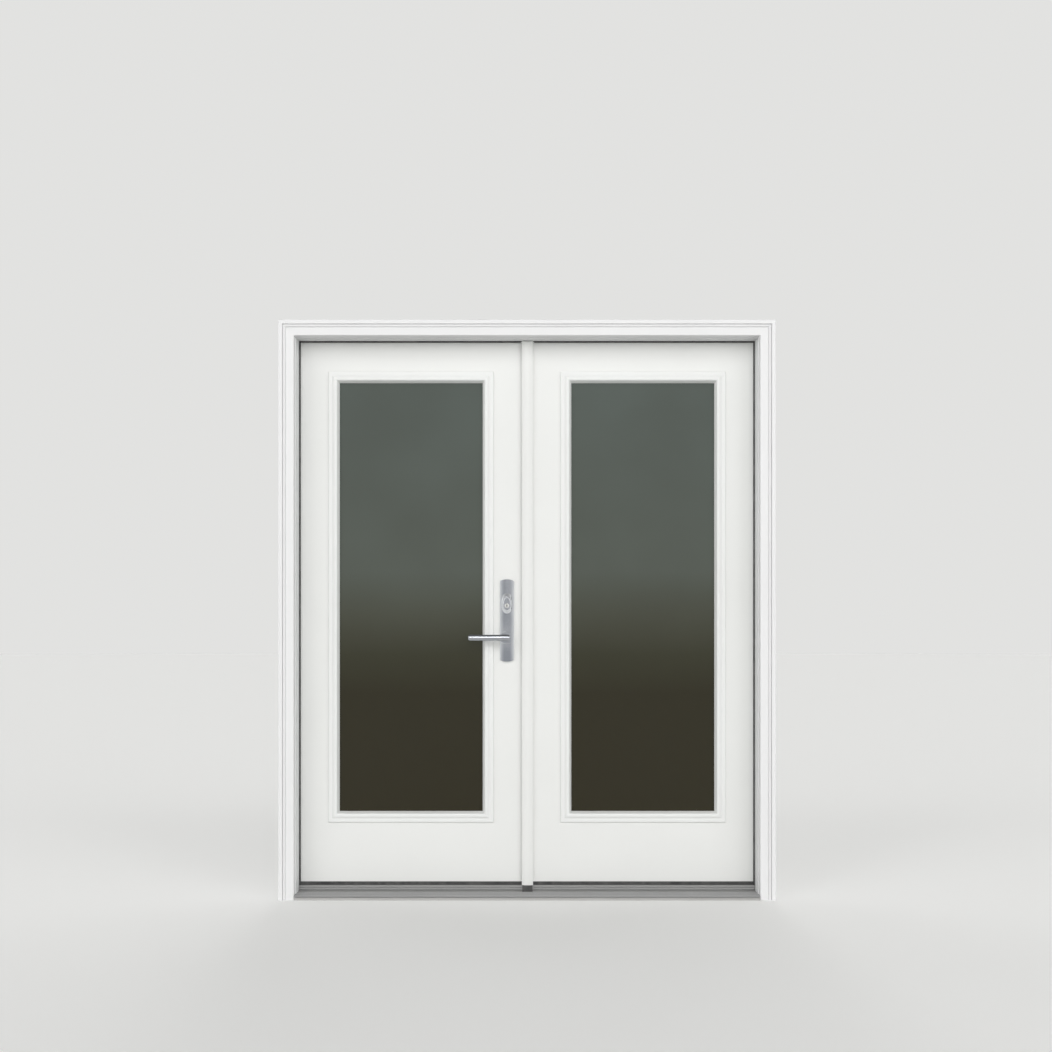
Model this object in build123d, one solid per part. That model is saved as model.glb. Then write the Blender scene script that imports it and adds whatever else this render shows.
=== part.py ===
from build123d import *
import os

# French doors: two glazed leaves that open inwards, in their own frame with its sill.
# X runs to the right as seen from outside, Y runs into the house and Z up, in millimetres.
# The origin is under the sill, midway between the leaves, at the outer edge of the jambs.

# Slabs of the two leaves: a lite frame with a border of slab round it
LITE_FRAME_WIDTH = 615.0
LITE_FRAME_HEIGHT = 1677.0
STILE_WIDTH = 117.4
TOP_RAIL = 122.0
BOTTOM_RAIL = 220.0
SLAB_WIDTH = LITE_FRAME_WIDTH + 2 * STILE_WIDTH
SLAB_HEIGHT = LITE_FRAME_HEIGHT + TOP_RAIL + BOTTOM_RAIL
SLAB_THICKNESS = 44.5
SLAB_EDGE_ROUND = 1.2

# Gaps round the leaves
HINGE_GAP = 3.0
HEAD_GAP = 3.2
MEETING_CLEARANCE = 3.2
RUNNING_CLEARANCE = 0.3
FIT_CLEARANCE = 0.1
PIN_CLEARANCE = 0.05

# Jambs, with the stop and the kerf that holds the seal
JAMB_DEPTH = 116.0
JAMB_THICKNESS = 19.0
STOP_THICKNESS = 12.7
STOP_STEP = 1.5
STOP_STEP_DEPTH = 30.0
SEAL_SPACE = 11.5
SEAL_REACH = 5.5
KERF_WIDTH = 2.5
KERF_DEPTH = 9.0
SEAL_NOTCH_MARGIN = 4.0

# Moulding round the outside of the frame
BRICKMOULD_WIDTH = 57.0
BRICKMOULD_THICKNESS = 32.0
BRICKMOULD_SIDE_REVEAL = 6.0
BRICKMOULD_HEAD_REVEAL = 4.0
BRICKMOULD_LAND = 14.5
BRICKMOULD_BEAD = 9.0
BRICKMOULD_BEAD_DROP = 1.2
BRICKMOULD_FIELD_DROP = 4.4
BRICKMOULD_SLOPE = 1.5
BRICKMOULD_QUIRK_WIDTH = 2.2
BRICKMOULD_QUIRK_DEPTH = 2.2
BRICKMOULD_ROUND = 4.0
BACK_GROOVE_WIDTH = 4.0
BACK_GROOVE_DEPTH = 1.5

# Sill: aluminium deck on its core, and the cap under the leaves
DECK_FRONT_HEIGHT = 16.0
DECK_BACK_HEIGHT = 21.0
DECK_SKIN = 2.0
DECK_NOSE_ROUND = 2.5
DECK_LIP_BOTTOM = 12.0
DECK_RIB_COUNT = 7
DECK_RIB_PITCH = 9.0
DECK_RIB_WIDTH = 3.0
DECK_RIB_HEIGHT = 1.0
SILL_END_CLEARANCE = 0.5
CORE_STRIP_TOP = 9.0
CORE_STRIP_SETBACK = 0.6
CORE_GROOVE_DEPTH = 8.0
CAP_SETBACK = 2.0
CAP_TOP = 40.0
CAP_FOOT_HEIGHT = 3.0
CAP_FOOT_SETBACK = 6.0
CAP_BEAD_HEIGHT = 7.5
CAP_GROOVE_HEIGHT = 3.0
CAP_GROOVE_DEPTH = 4.5
CAP_ROUND = 2.0

# Sweep under each leaf
SWEEP_HEIGHT = 12.5
SWEEP_BASE = 4.0
SWEEP_WIDTH = 40.0
SWEEP_FINS = 4
SWEEP_FIN_WIDTH = 2.4
SWEEP_END_INSET = 1.0

# Glazing: sealed glass unit between an outer and an inner lite frame
LITE_BORDER = 41.0
CUTOUT_LAP = 21.5
LITE_LEG_GAP = 0.5
GLASS_UNIT_LAP = 13.0
GLASS_UNIT_THICKNESS = 25.0
PANE_THICKNESS = 4.0
SPACER_INSET = 1.5
SPACER_WIDTH = 7.5

# Lite frame moulding, as heights above the slab
LITE_EDGE_HEIGHT = 4.0
LITE_EDGE_ROUND = 3.0
LITE_FLAT_WIDTH = 12.0
LITE_GROOVE_WIDTH = 4.0
LITE_GROOVE_DEPTH = 0.4
LITE_RIDGE_WIDTH = 17.2
LITE_RIDGE_HEIGHT = 10.5
LITE_RIDGE_CREST = 9.0
LITE_RIDGE_DROP = 2.0
LITE_LIP_HEIGHT = 2.0

# Butt hinges
HINGES_PER_LEAF = 3
HINGE_HEIGHT = 102.0
HINGE_REACH = 44.5
HINGE_PLATE = 2.6
HINGE_CORNER = 12.0
HINGE_KNUCKLES = 5
KNUCKLE_RADIUS = 6.4
KNUCKLE_GAP = 0.4
PIN_RADIUS = 3.2
PIN_HEAD_RADIUS = 5.4
PIN_HEAD_HEIGHT = 2.5
PIN_HEAD_BEVEL = 1.5
BARREL_STANDOFF = 7.2
HINGE_TOP_DROP = 178.0
HINGE_BOTTOM_RISE = 279.0

# Astragal on the inactive leaf
ASTRAGAL_WEB = 10.4
ASTRAGAL_WIDTH = 42.0
ASTRAGAL_PROUD = 19.5
ASTRAGAL_CROWN = 6.0
ASTRAGAL_EDGE_ROUND = 3.0
ASTRAGAL_END_SLOPE = 4.0
ASTRAGAL_SEAL_SPACE = 7.5
ASTRAGAL_SEAL_INSET = 2.0
ASTRAGAL_HEAD_GAP = 1.3
ASTRAGAL_SILL_GAP = 1.0
SILL_PAD_WIDTH = 38.0
SILL_PAD_DEPTH = 10.0
SILL_PAD_ROUND = 3.0
SILL_PAD_TONGUE = 28.0
SILL_PAD_TONGUE_THICKNESS = 2.5

# Flush bolts in the edge of the inactive leaf
FLUSH_BOLT_SETBACK = 14.0
FLUSH_BOLT_RADIUS = 6.0
FLUSH_BOLT_LENGTH = 280.0
FLUSH_BOLT_THROW = 16.0
FLUSH_TAB_LENGTH = 22.0
FLUSH_TAB_WIDTH = 7.0
FLUSH_TAB_RECESS = 0.5
FLUSH_TIP_SINK = 0.5
FLUSH_TIP_RISE = 1.0
FLUSH_STRIKE_LENGTH = 50.0
FLUSH_STRIKE_WIDTH = 22.0
STRIKE_PLATE = 1.6
STRIKE_MARGIN = 1.0
STRIKE_DEPTH_SPARE = 3.0

# Lock in the active leaf
LEVER_HEIGHT = 960.0
LOCK_BACKSET = 67.7
CYLINDER_RISE = 119.0
CASE_DEPTH = 90.0
CASE_THICKNESS = 16.0
CASE_BOTTOM_DROP = 60.0
CASE_TOP_RISE = 45.0
FACEPLATE_WIDTH = 20.0
FACEPLATE_THICKNESS = 3.0
FACEPLATE_END = 115.0
BOLT_NOSE_SINK = 0.5
LATCH_HEIGHT = 24.0
LATCH_WIDTH = 10.0
LATCH_LENGTH = 46.0
LATCH_BEVEL = 8.0
LATCH_OUT = 12.0
LATCH_IN = 9.4
DEADBOLT_HEIGHT = 30.0
DEADBOLT_WIDTH = 10.0
DEADBOLT_LENGTH = 50.0
DEADBOLT_OUT = 25.0
BOLT_BOX_HEIGHT = 70.0
BOLT_BOX_DEPTH = 62.0
UPPER_BOLT_DROP = 372.0
LOWER_BOLT_RISE = 327.0
LOCKING_BOLT_HEIGHT = 26.0
LOCKING_BOLT_WIDTH = 10.0
LOCKING_BOLT_LENGTH = 38.0
LOCKING_BOLT_ROUND = 2.0
LOCKING_BOLT_OUT = 20.0
LOCKING_BOLT_IN = 15.6
LOCK_STRIKE_WIDTH = 26.0
LOCK_STRIKE_MARGIN = 30.0

# Handle trim on both faces of the active leaf
ESCUTCHEON_WIDTH = 51.6
ESCUTCHEON_HEIGHT = 306.0
ESCUTCHEON_EDGE = 5.5
ESCUTCHEON_CROWN = 10.0
ESCUTCHEON_ARCH = 6.0
ESCUTCHEON_CORNER = 5.0
ESCUTCHEON_DROP = 89.0
BOSS_WIDTH = 42.0
BOSS_HEIGHT = 93.0
BOSS_SINK = 3.0
BOSS_RISE = 5.0
BOSS_RIM_WIDTH = 33.0
BOSS_RIM_HEIGHT = 50.0
BOSS_ROUND = 2.0
BOSS_OFFSET = 9.0
BOSS_RIM = 2.0
BOSS_DISH = 1.6
HUB_PAD_HALF_HEIGHT = 23.0
HUB_PAD_INSET = 1.8
HUB_PAD_RISE = 2.0
HUB_PAD_CHAMFER = 1.0
CYLINDER_RADIUS = 12.0
CYLINDER_RISE_OUT = 1.0
PLUG_RADIUS = 7.0
KEYWAY_WIDTH = 3.4
KEYWAY_HEIGHT = 10.0
KEYWAY_DEPTH = 20.0
TAILPIECE_WIDTH = 7.0
TAILPIECE_THICKNESS = 2.5
TURN_NECK_RADIUS = 8.0
TURN_DISC_RADIUS = 13.0
TURN_DISC_THICKNESS = 4.0
TURN_WING_LENGTH = 34.0
TURN_WING_THICKNESS = 8.0
TURN_WING_RISE = 16.0
CASE_BORE_MARGIN = 1.5

# Levers and their spindle
LEVER_LENGTH = 144.0
LEVER_STANDOFF = 50.0
LEVER_HEEL = 13.0
LEVER_BAR_HEIGHT = 22.5
LEVER_BAR_THICKNESS = 13.0
LEVER_EDGE_ROUND = 4.0
LEVER_END_ROUND = 5.5
LEVER_NECK_RADIUS = 10.0
SPINDLE_SIZE = 8.0
SPINDLE_GRIP = 22.0

# Places across the unit
MEETING_GAP = MEETING_CLEARANCE + ASTRAGAL_WEB
MEETING_EDGE_X = MEETING_GAP / 2
HINGE_EDGE_X = MEETING_EDGE_X + SLAB_WIDTH
RABBET_X = HINGE_EDGE_X + HINGE_GAP
STOP_X = RABBET_X - STOP_THICKNESS
JAMB_OUTER_X = RABBET_X + JAMB_THICKNESS
BRICKMOULD_INNER_X = STOP_X + BRICKMOULD_SIDE_REVEAL
BRICKMOULD_OUTER_X = BRICKMOULD_INNER_X + BRICKMOULD_WIDTH
LEAF_CENTRE_X = MEETING_EDGE_X + SLAB_WIDTH / 2
WEB_FACE_X = MEETING_EDGE_X - ASTRAGAL_WEB
WEB_MIDDLE_X = MEETING_EDGE_X - ASTRAGAL_WEB / 2
FLUSH_BOLT_X = MEETING_EDGE_X + FLUSH_BOLT_SETBACK
LOCK_X = -MEETING_EDGE_X - LOCK_BACKSET
FACEPLATE_BACK_X = -MEETING_EDGE_X - FACEPLATE_THICKNESS
BOLT_NOSE_X = -MEETING_EDGE_X - BOLT_NOSE_SINK

# Places through the wall
SLAB_FACE_Y = JAMB_DEPTH - SLAB_THICKNESS
SLAB_MIDDLE_Y = JAMB_DEPTH - SLAB_THICKNESS / 2
STOP_BACK_Y = SLAB_FACE_Y - SEAL_SPACE
SEAL_FACE_Y = SLAB_FACE_Y - RUNNING_CLEARANCE
CAP_FRONT_Y = STOP_BACK_Y + CAP_SETBACK
GLASS_FACE_Y = SLAB_MIDDLE_Y - GLASS_UNIT_THICKNESS / 2
HINGE_AXIS_X = HINGE_EDGE_X + HINGE_GAP / 2
HINGE_AXIS_Y = JAMB_DEPTH + BARREL_STANDOFF
ASTRAGAL_FRONT_Y = SLAB_FACE_Y - ASTRAGAL_PROUD
ASTRAGAL_BACK_Y = SLAB_FACE_Y - ASTRAGAL_SEAL_SPACE
ESCUTCHEON_FRONT_Y = SLAB_FACE_Y - ESCUTCHEON_CROWN
BOSS_FRONT_Y = ESCUTCHEON_FRONT_Y - BOSS_RISE
CYLINDER_FRONT_Y = BOSS_FRONT_Y + BOSS_DISH - CYLINDER_RISE_OUT
LEVER_AXIS_Y = SLAB_FACE_Y - LEVER_STANDOFF
CASE_FACE_Y = SLAB_MIDDLE_Y - CASE_THICKNESS / 2

# Heights
SWEEP_BOTTOM_Z = CAP_TOP + RUNNING_CLEARANCE
SLAB_BOTTOM_Z = SWEEP_BOTTOM_Z + SWEEP_HEIGHT
SLAB_TOP_Z = SLAB_BOTTOM_Z + SLAB_HEIGHT
HEAD_RABBET_Z = SLAB_TOP_Z + HEAD_GAP
HEAD_STOP_Z = HEAD_RABBET_Z - STOP_THICKNESS
FRAME_TOP_Z = HEAD_RABBET_Z + JAMB_THICKNESS
BRICKMOULD_INNER_Z = HEAD_STOP_Z + BRICKMOULD_HEAD_REVEAL
BRICKMOULD_TOP_Z = BRICKMOULD_INNER_Z + BRICKMOULD_WIDTH
LITE_BOTTOM_Z = SLAB_BOTTOM_Z + BOTTOM_RAIL
LITE_CENTRE_Z = LITE_BOTTOM_Z + LITE_FRAME_HEIGHT / 2
ASTRAGAL_BOTTOM_Z = CAP_TOP + ASTRAGAL_SILL_GAP
ASTRAGAL_TOP_Z = HEAD_STOP_Z - ASTRAGAL_HEAD_GAP
CYLINDER_Z = LEVER_HEIGHT + CYLINDER_RISE
CASE_BOTTOM_Z = LEVER_HEIGHT - CASE_BOTTOM_DROP
CASE_TOP_Z = CYLINDER_Z + CASE_TOP_RISE
LOCKING_BOLT_HEIGHTS = (SLAB_TOP_Z - UPPER_BOLT_DROP, SLAB_BOTTOM_Z + LOWER_BOLT_RISE)
FACEPLATE_BOTTOM = LOCKING_BOLT_HEIGHTS[1] - FACEPLATE_END
FACEPLATE_TOP = LOCKING_BOLT_HEIGHTS[0] + FACEPLATE_END
HINGE_TOP_Z = SLAB_TOP_Z - HINGE_TOP_DROP - HINGE_HEIGHT / 2
HINGE_BOTTOM_Z = SLAB_BOTTOM_Z + HINGE_BOTTOM_RISE + HINGE_HEIGHT / 2
HINGE_STEP = (HINGE_TOP_Z - HINGE_BOTTOM_Z) / (HINGES_PER_LEAF - 1)
HINGE_HEIGHTS = [HINGE_TOP_Z - step * HINGE_STEP for step in range(HINGES_PER_LEAF)]
HINGE_NAMES = ("top", "middle", "bottom")


# Shared shapes
def block(x_range, y_range, z_range):
    """A block between two places on each axis."""
    spans = (x_range, y_range, z_range)
    middle = [(low + high) / 2 for low, high in spans]
    return Pos(*middle) * Box(*[high - low for low, high in spans])


def around(middle, size):
    """The two places that lie half a size either side of the middle."""
    return (middle - size / 2, middle + size / 2)


def rod_y(x, z, radius, y_start, y_end):
    """A round bar through the leaf, between two depths."""
    centre = Pos(x, (y_start + y_end) / 2, z)
    return centre * Rot(90, 0, 0) * Cylinder(radius, y_end - y_start)


def rod_z(x, y, radius, z_start, z_end):
    """An upright round bar between two heights."""
    return Pos(x, y, (z_start + z_end) / 2) * Cylinder(radius, z_end - z_start)


def run_x(face, x_range):
    """Extrudes a face drawn with Y across and Z up along X."""
    start, end = x_range
    return extrude(Plane.YZ.offset(start) * face, amount=end - start, dir=(1, 0, 0))


def run_y(face, y_range):
    """Extrudes a face drawn with X across and Z up along Y."""
    start, end = y_range
    return extrude(Plane.XZ.offset(-start) * face, amount=end - start, dir=(0, 1, 0))


def run_z(face, z_range):
    """Extrudes a face drawn in plan upwards."""
    start, end = z_range
    return extrude(Pos(0, 0, start) * face, amount=end - start, dir=(0, 0, 1))


def outline(*points):
    """A closed face with straight sides."""
    return make_face(Polyline(*points, close=True))


def to_left(shape):
    """The same piece on the left-hand side of the unit."""
    return mirror(shape, about=Plane.YZ)


def to_inside(shape):
    """The same piece on the room side of a leaf."""
    return mirror(shape, about=Plane.XZ.offset(-SLAB_MIDDLE_Y))


# Frame
def jamb_points(rabbet):
    """Jamb section as places across its thickness and depths through the wall."""
    stop = rabbet - STOP_THICKNESS
    outer = rabbet + JAMB_THICKNESS
    return [
        (outer, 0),
        (stop + STOP_STEP, 0),
        (stop + STOP_STEP, STOP_STEP_DEPTH),
        (stop, STOP_STEP_DEPTH + STOP_STEP),
        (stop, STOP_BACK_Y),
        (rabbet + KERF_DEPTH, STOP_BACK_Y),
        (rabbet + KERF_DEPTH, STOP_BACK_Y + KERF_WIDTH),
        (rabbet, STOP_BACK_Y + KERF_WIDTH),
        (rabbet, JAMB_DEPTH),
        (outer, JAMB_DEPTH),
    ]


def seal_face(rabbet, turned):
    """Seal section: a bulb behind the stop with a tongue in the kerf."""
    radius = (SEAL_FACE_Y - STOP_BACK_Y) / 2
    tip = rabbet - STOP_THICKNESS - SEAL_REACH
    points = [
        (tip + radius, SEAL_FACE_Y),
        (rabbet, SEAL_FACE_Y),
        (rabbet, STOP_BACK_Y + KERF_WIDTH),
        (rabbet + KERF_DEPTH, STOP_BACK_Y + KERF_WIDTH),
        (rabbet + KERF_DEPTH, STOP_BACK_Y),
        (tip + radius, STOP_BACK_Y),
    ]
    bulb = [points[-1], (tip, STOP_BACK_Y + radius), points[0]]
    if turned:
        points = [(depth, across) for across, depth in points]
        bulb = [(depth, across) for across, depth in bulb]
    return make_face(Polyline(*points) + ThreePointArc(*bulb))


def head_blank():
    """Head jamb between the side jambs, without its bolt strike."""
    points = [(depth, height) for height, depth in jamb_points(HEAD_RABBET_Z)]
    return run_x(outline(*points), (-RABBET_X, RABBET_X))


def head_filled():
    """Room that the head takes out of the side jambs, with its kerf closed."""
    kerf_y = (STOP_BACK_Y, STOP_BACK_Y + KERF_WIDTH)
    kerf_z = (HEAD_RABBET_Z, HEAD_RABBET_Z + KERF_DEPTH)
    return head_blank() + block((-RABBET_X, RABBET_X), kerf_y, kerf_z)


def sill_room():
    """Room that the sill takes out of the side jambs."""
    over_ribs = DECK_RIB_HEIGHT + FIT_CLEARANCE
    face = outline(
        (0, 0),
        (0, deck_height(0) + over_ribs),
        (CAP_FRONT_Y, DECK_BACK_HEIGHT + over_ribs),
        (CAP_FRONT_Y, CAP_TOP),
        (JAMB_DEPTH, CAP_TOP),
        (JAMB_DEPTH, 0),
    )
    return run_x(face, (-RABBET_X, RABBET_X))


def side_jamb():
    """Right-hand jamb, coped over the sill and housed for the hinges."""
    jamb = run_z(outline(*jamb_points(RABBET_X)), (0, FRAME_TOP_Z))
    jamb -= head_filled()
    jamb -= sill_room()
    for height in HINGE_HEIGHTS:
        jamb -= hinge_plate(height, frame_side=True)
    return jamb


def head_jamb():
    """Head jamb with a housing for the top bolt's strike and a hole behind it."""
    tip = SLAB_TOP_Z - FLUSH_TIP_SINK + FLUSH_BOLT_THROW + STRIKE_DEPTH_SPARE
    hole = rod_z(FLUSH_BOLT_X, SLAB_MIDDLE_Y, FLUSH_BOLT_RADIUS + STRIKE_MARGIN, HEAD_RABBET_Z, tip)
    return head_blank() - flush_strike_blank(HEAD_RABBET_Z) - hole


def side_seal():
    """Right-hand seal from the cap to the head."""
    return run_z(seal_face(RABBET_X, turned=False), (CAP_TOP, HEAD_RABBET_Z))


def head_seal():
    """Seal under the head, cut away above the astragal."""
    reach = RABBET_X - STOP_THICKNESS - SEAL_REACH
    seal = run_x(seal_face(HEAD_RABBET_Z, turned=True), (-reach, reach))
    half_notch = ASTRAGAL_WIDTH / 2 + SEAL_NOTCH_MARGIN
    notch_x = around(WEB_MIDDLE_X, 2 * half_notch)
    return seal - block(notch_x, (STOP_BACK_Y, SLAB_FACE_Y), (HEAD_STOP_Z - STOP_THICKNESS, HEAD_STOP_Z))


# Outside moulding
def brickmould_face():
    """Moulding section: across it from the opening outwards, and out from the wall."""
    full = BRICKMOULD_THICKNESS
    field = full - BRICKMOULD_FIELD_DROP
    inner = field - BRICKMOULD_SLOPE
    quirk = BRICKMOULD_QUIRK_WIDTH
    quirk_floor = field - BRICKMOULD_QUIRK_DEPTH
    land_start = BRICKMOULD_WIDTH - BRICKMOULD_LAND
    bead_end = land_start - quirk
    bead_start = bead_end - BRICKMOULD_BEAD
    field_end = bead_start - quirk
    bead_top = ((bead_start + bead_end) / 2, full - BRICKMOULD_BEAD_DROP)
    bend = BRICKMOULD_ROUND
    groove = JAMB_OUTER_X - BRICKMOULD_INNER_X
    sides = Polyline(
        (bend, inner),
        (field_end, field),
        (bead_start - quirk / 2, quirk_floor),
        (bead_start, field),
    )
    sides += ThreePointArc((bead_start, field), bead_top, (bead_end, field))
    sides += Polyline(
        (bead_end, field),
        (land_start - quirk / 2, quirk_floor),
        (land_start, full),
        (BRICKMOULD_WIDTH - bend / 2, full),
    )
    sides += RadiusArc((BRICKMOULD_WIDTH - bend / 2, full), (BRICKMOULD_WIDTH, full - bend / 2), bend / 2)
    sides += Polyline(
        (BRICKMOULD_WIDTH, full - bend / 2),
        (BRICKMOULD_WIDTH, 0),
        (groove + BACK_GROOVE_WIDTH, 0),
        (groove + BACK_GROOVE_WIDTH, BACK_GROOVE_DEPTH),
        (groove, BACK_GROOVE_DEPTH),
        (groove, 0),
        (0, 0),
        (0, inner - bend),
    )
    sides += RadiusArc((0, inner - bend), (bend, inner), bend)
    return make_face(sides)


def mitre_wedge(points):
    """Prism through the whole depth of the moulding, over an outline in X and Z."""
    return run_y(outline(*points), (-2 * BRICKMOULD_THICKNESS, BRICKMOULD_THICKNESS))


def side_brickmould():
    """Right-hand leg of the moulding, mitred at its top."""
    section = Pos(BRICKMOULD_INNER_X, 0) * mirror(brickmould_face(), about=Plane.XZ)
    leg = run_z(section, (0, BRICKMOULD_TOP_Z))
    return leg & mitre_wedge(
        [
            (BRICKMOULD_INNER_X, 0),
            (BRICKMOULD_OUTER_X, 0),
            (BRICKMOULD_OUTER_X, BRICKMOULD_TOP_Z),
            (BRICKMOULD_INNER_X, BRICKMOULD_INNER_Z),
        ]
    )


def head_brickmould():
    """Head of the moulding, mitred at both ends."""
    section = Pos(0, BRICKMOULD_INNER_Z) * Rot(0, 0, 90) * brickmould_face()
    rail = run_x(section, (-BRICKMOULD_OUTER_X, BRICKMOULD_OUTER_X))
    return rail & mitre_wedge(
        [
            (-BRICKMOULD_INNER_X, BRICKMOULD_INNER_Z),
            (BRICKMOULD_INNER_X, BRICKMOULD_INNER_Z),
            (BRICKMOULD_OUTER_X, BRICKMOULD_TOP_Z),
            (-BRICKMOULD_OUTER_X, BRICKMOULD_TOP_Z),
        ]
    )


# Sill
def deck_height(depth):
    """Height of the sloping deck at a depth through the wall."""
    nose = -BRICKMOULD_THICKNESS
    share = (depth - nose) / (CAP_FRONT_Y - nose)
    return DECK_FRONT_HEIGHT + share * (DECK_BACK_HEIGHT - DECK_FRONT_HEIGHT)


def between_legs(sill):
    """Takes the corners off a sill piece where the moulding stands."""
    inner = BRICKMOULD_INNER_X - SILL_END_CLEARANCE
    for corner_x in ((inner, RABBET_X), (-RABBET_X, -inner)):
        sill -= block(corner_x, (-BRICKMOULD_THICKNESS, 0), (0, DECK_BACK_HEIGHT))
    return sill


def deck_ribs():
    """Grip ribs along the deck, as one face in Y and Z."""
    nose = -BRICKMOULD_THICKNESS
    ribs = Sketch()
    for index in range(DECK_RIB_COUNT):
        middle = nose + DECK_RIB_PITCH * (index + 1)
        foot = deck_height(middle) - DECK_SKIN / 2
        crest = deck_height(middle) + DECK_RIB_HEIGHT
        half = DECK_RIB_WIDTH / 2
        ribs += outline(
            (middle - half, foot),
            (middle + half, foot),
            (middle + half / 2, crest),
            (middle - half / 2, crest),
        )
    return ribs


def sill_deck():
    """Aluminium skin of the sill: a lipped nose, a ribbed slope and a flat under the cap."""
    nose = -BRICKMOULD_THICKNESS
    skin = outline(
        (nose, DECK_LIP_BOTTOM),
        (nose, DECK_FRONT_HEIGHT),
        (CAP_FRONT_Y, DECK_BACK_HEIGHT),
        (JAMB_DEPTH, DECK_BACK_HEIGHT),
        (JAMB_DEPTH, DECK_BACK_HEIGHT - DECK_SKIN),
        (CAP_FRONT_Y, DECK_BACK_HEIGHT - DECK_SKIN),
        (nose + DECK_SKIN, DECK_FRONT_HEIGHT - DECK_SKIN),
        (nose + DECK_SKIN, DECK_LIP_BOTTOM),
    )
    corner = skin.vertices().sort_by_distance((nose, DECK_FRONT_HEIGHT, 0))[0]
    skin = fillet(corner, DECK_NOSE_ROUND)
    return between_legs(run_x(skin + deck_ribs(), (-RABBET_X, RABBET_X)))


def sill_substrate():
    """Core under the deck, with a light front strip below a shadow groove."""
    nose = -BRICKMOULD_THICKNESS
    strip = nose + CORE_STRIP_SETBACK
    groove = nose + CORE_GROOVE_DEPTH
    core = outline(
        (JAMB_DEPTH, 0),
        (strip, 0),
        (strip, CORE_STRIP_TOP),
        (groove, CORE_STRIP_TOP),
        (groove, DECK_LIP_BOTTOM),
        (nose + DECK_SKIN, DECK_LIP_BOTTOM),
        (nose + DECK_SKIN, DECK_FRONT_HEIGHT - DECK_SKIN),
        (CAP_FRONT_Y, DECK_BACK_HEIGHT - DECK_SKIN),
        (JAMB_DEPTH, DECK_BACK_HEIGHT - DECK_SKIN),
    )
    return between_legs(run_x(core, (-RABBET_X, RABBET_X)))


def sill_cap():
    """Cap under the leaves, with a recessed foot, a bead and a ridge, and the bolt's strike."""
    foot_top = DECK_BACK_HEIGHT + CAP_FOOT_HEIGHT
    bead_top = foot_top + CAP_BEAD_HEIGHT
    groove_top = bead_top + CAP_GROOVE_HEIGHT
    foot_y = CAP_FRONT_Y + CAP_FOOT_SETBACK
    groove_y = CAP_FRONT_Y + CAP_GROOVE_DEPTH
    face = outline(
        (JAMB_DEPTH, DECK_BACK_HEIGHT),
        (foot_y, DECK_BACK_HEIGHT),
        (foot_y, foot_top),
        (CAP_FRONT_Y, foot_top),
        (CAP_FRONT_Y, bead_top),
        (groove_y, bead_top),
        (groove_y, groove_top),
        (CAP_FRONT_Y, groove_top),
        (CAP_FRONT_Y, CAP_TOP),
        (JAMB_DEPTH, CAP_TOP),
    )
    rounded = [(CAP_FRONT_Y, foot_top), (CAP_FRONT_Y, bead_top), (CAP_FRONT_Y, CAP_TOP)]
    corners = [face.vertices().sort_by_distance((y, z, 0))[0] for y, z in rounded]
    cap = run_x(fillet(corners, CAP_ROUND), (-RABBET_X, RABBET_X))
    tip = SWEEP_BOTTOM_Z + FLUSH_TIP_RISE - FLUSH_BOLT_THROW - STRIKE_DEPTH_SPARE
    cap -= flush_strike_blank(CAP_TOP - STRIKE_PLATE)
    return cap - rod_z(FLUSH_BOLT_X, SLAB_MIDDLE_Y, FLUSH_BOLT_RADIUS + STRIKE_MARGIN, tip, CAP_TOP)


def astragal_sill_pad():
    """Soft pad that closes the gap under the astragal, with a thin tongue out along the deck."""
    front = CAP_FRONT_Y - SILL_PAD_DEPTH
    tip = CAP_FRONT_Y - SILL_PAD_TONGUE
    top = ASTRAGAL_BOTTOM_Z - RUNNING_CLEARANCE
    face = outline(
        (tip, deck_height(tip)),
        (tip, deck_height(tip) + SILL_PAD_TONGUE_THICKNESS),
        (front, deck_height(front) + SILL_PAD_TONGUE_THICKNESS),
        (front, top),
        (CAP_FRONT_Y, top),
        (CAP_FRONT_Y, DECK_BACK_HEIGHT),
    )
    face = fillet(face.vertices().sort_by_distance((front, top, 0))[0], SILL_PAD_ROUND)
    return run_x(face, around(WEB_MIDDLE_X, SILL_PAD_WIDTH))


def flush_strike_blank(bottom):
    """Outline plate of a flush bolt's strike, from its underside."""
    x_range = around(FLUSH_BOLT_X, FLUSH_STRIKE_LENGTH)
    y_range = around(SLAB_MIDDLE_Y, FLUSH_STRIKE_WIDTH)
    return block(x_range, y_range, (bottom, bottom + STRIKE_PLATE))


def flush_bolt_strikes():
    """The two drilled plates that take the flush bolts, in the head and in the cap."""
    plates = []
    for bottom in (HEAD_RABBET_Z, CAP_TOP - STRIKE_PLATE):
        hole = FLUSH_BOLT_RADIUS + STRIKE_MARGIN
        drill = rod_z(FLUSH_BOLT_X, SLAB_MIDDLE_Y, hole, bottom, bottom + STRIKE_PLATE)
        plates.append(flush_strike_blank(bottom) - drill)
    return Compound([plate.solid() for plate in plates])


# Hinges, modelled on the right-hand side
def hinge_plate_x(frame_side):
    """Places across the unit of a hinge leaf's plate."""
    if frame_side:
        return (RABBET_X, RABBET_X + HINGE_PLATE)
    return (HINGE_EDGE_X - HINGE_PLATE, HINGE_EDGE_X)


def hinge_plate(height, frame_side):
    """Plate of a hinge leaf, as it lies let into the jamb or the edge of the slab."""
    edge = HINGE_AXIS_Y - HINGE_REACH
    near_barrel = HINGE_AXIS_Y - KNUCKLE_RADIUS - RUNNING_CLEARANCE
    plate = Pos((edge + near_barrel) / 2, height) * Rectangle(near_barrel - edge, HINGE_HEIGHT)
    plate = fillet(plate.vertices().sort_by(Axis.X)[:2], HINGE_CORNER)
    return run_x(plate, hinge_plate_x(frame_side))


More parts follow.
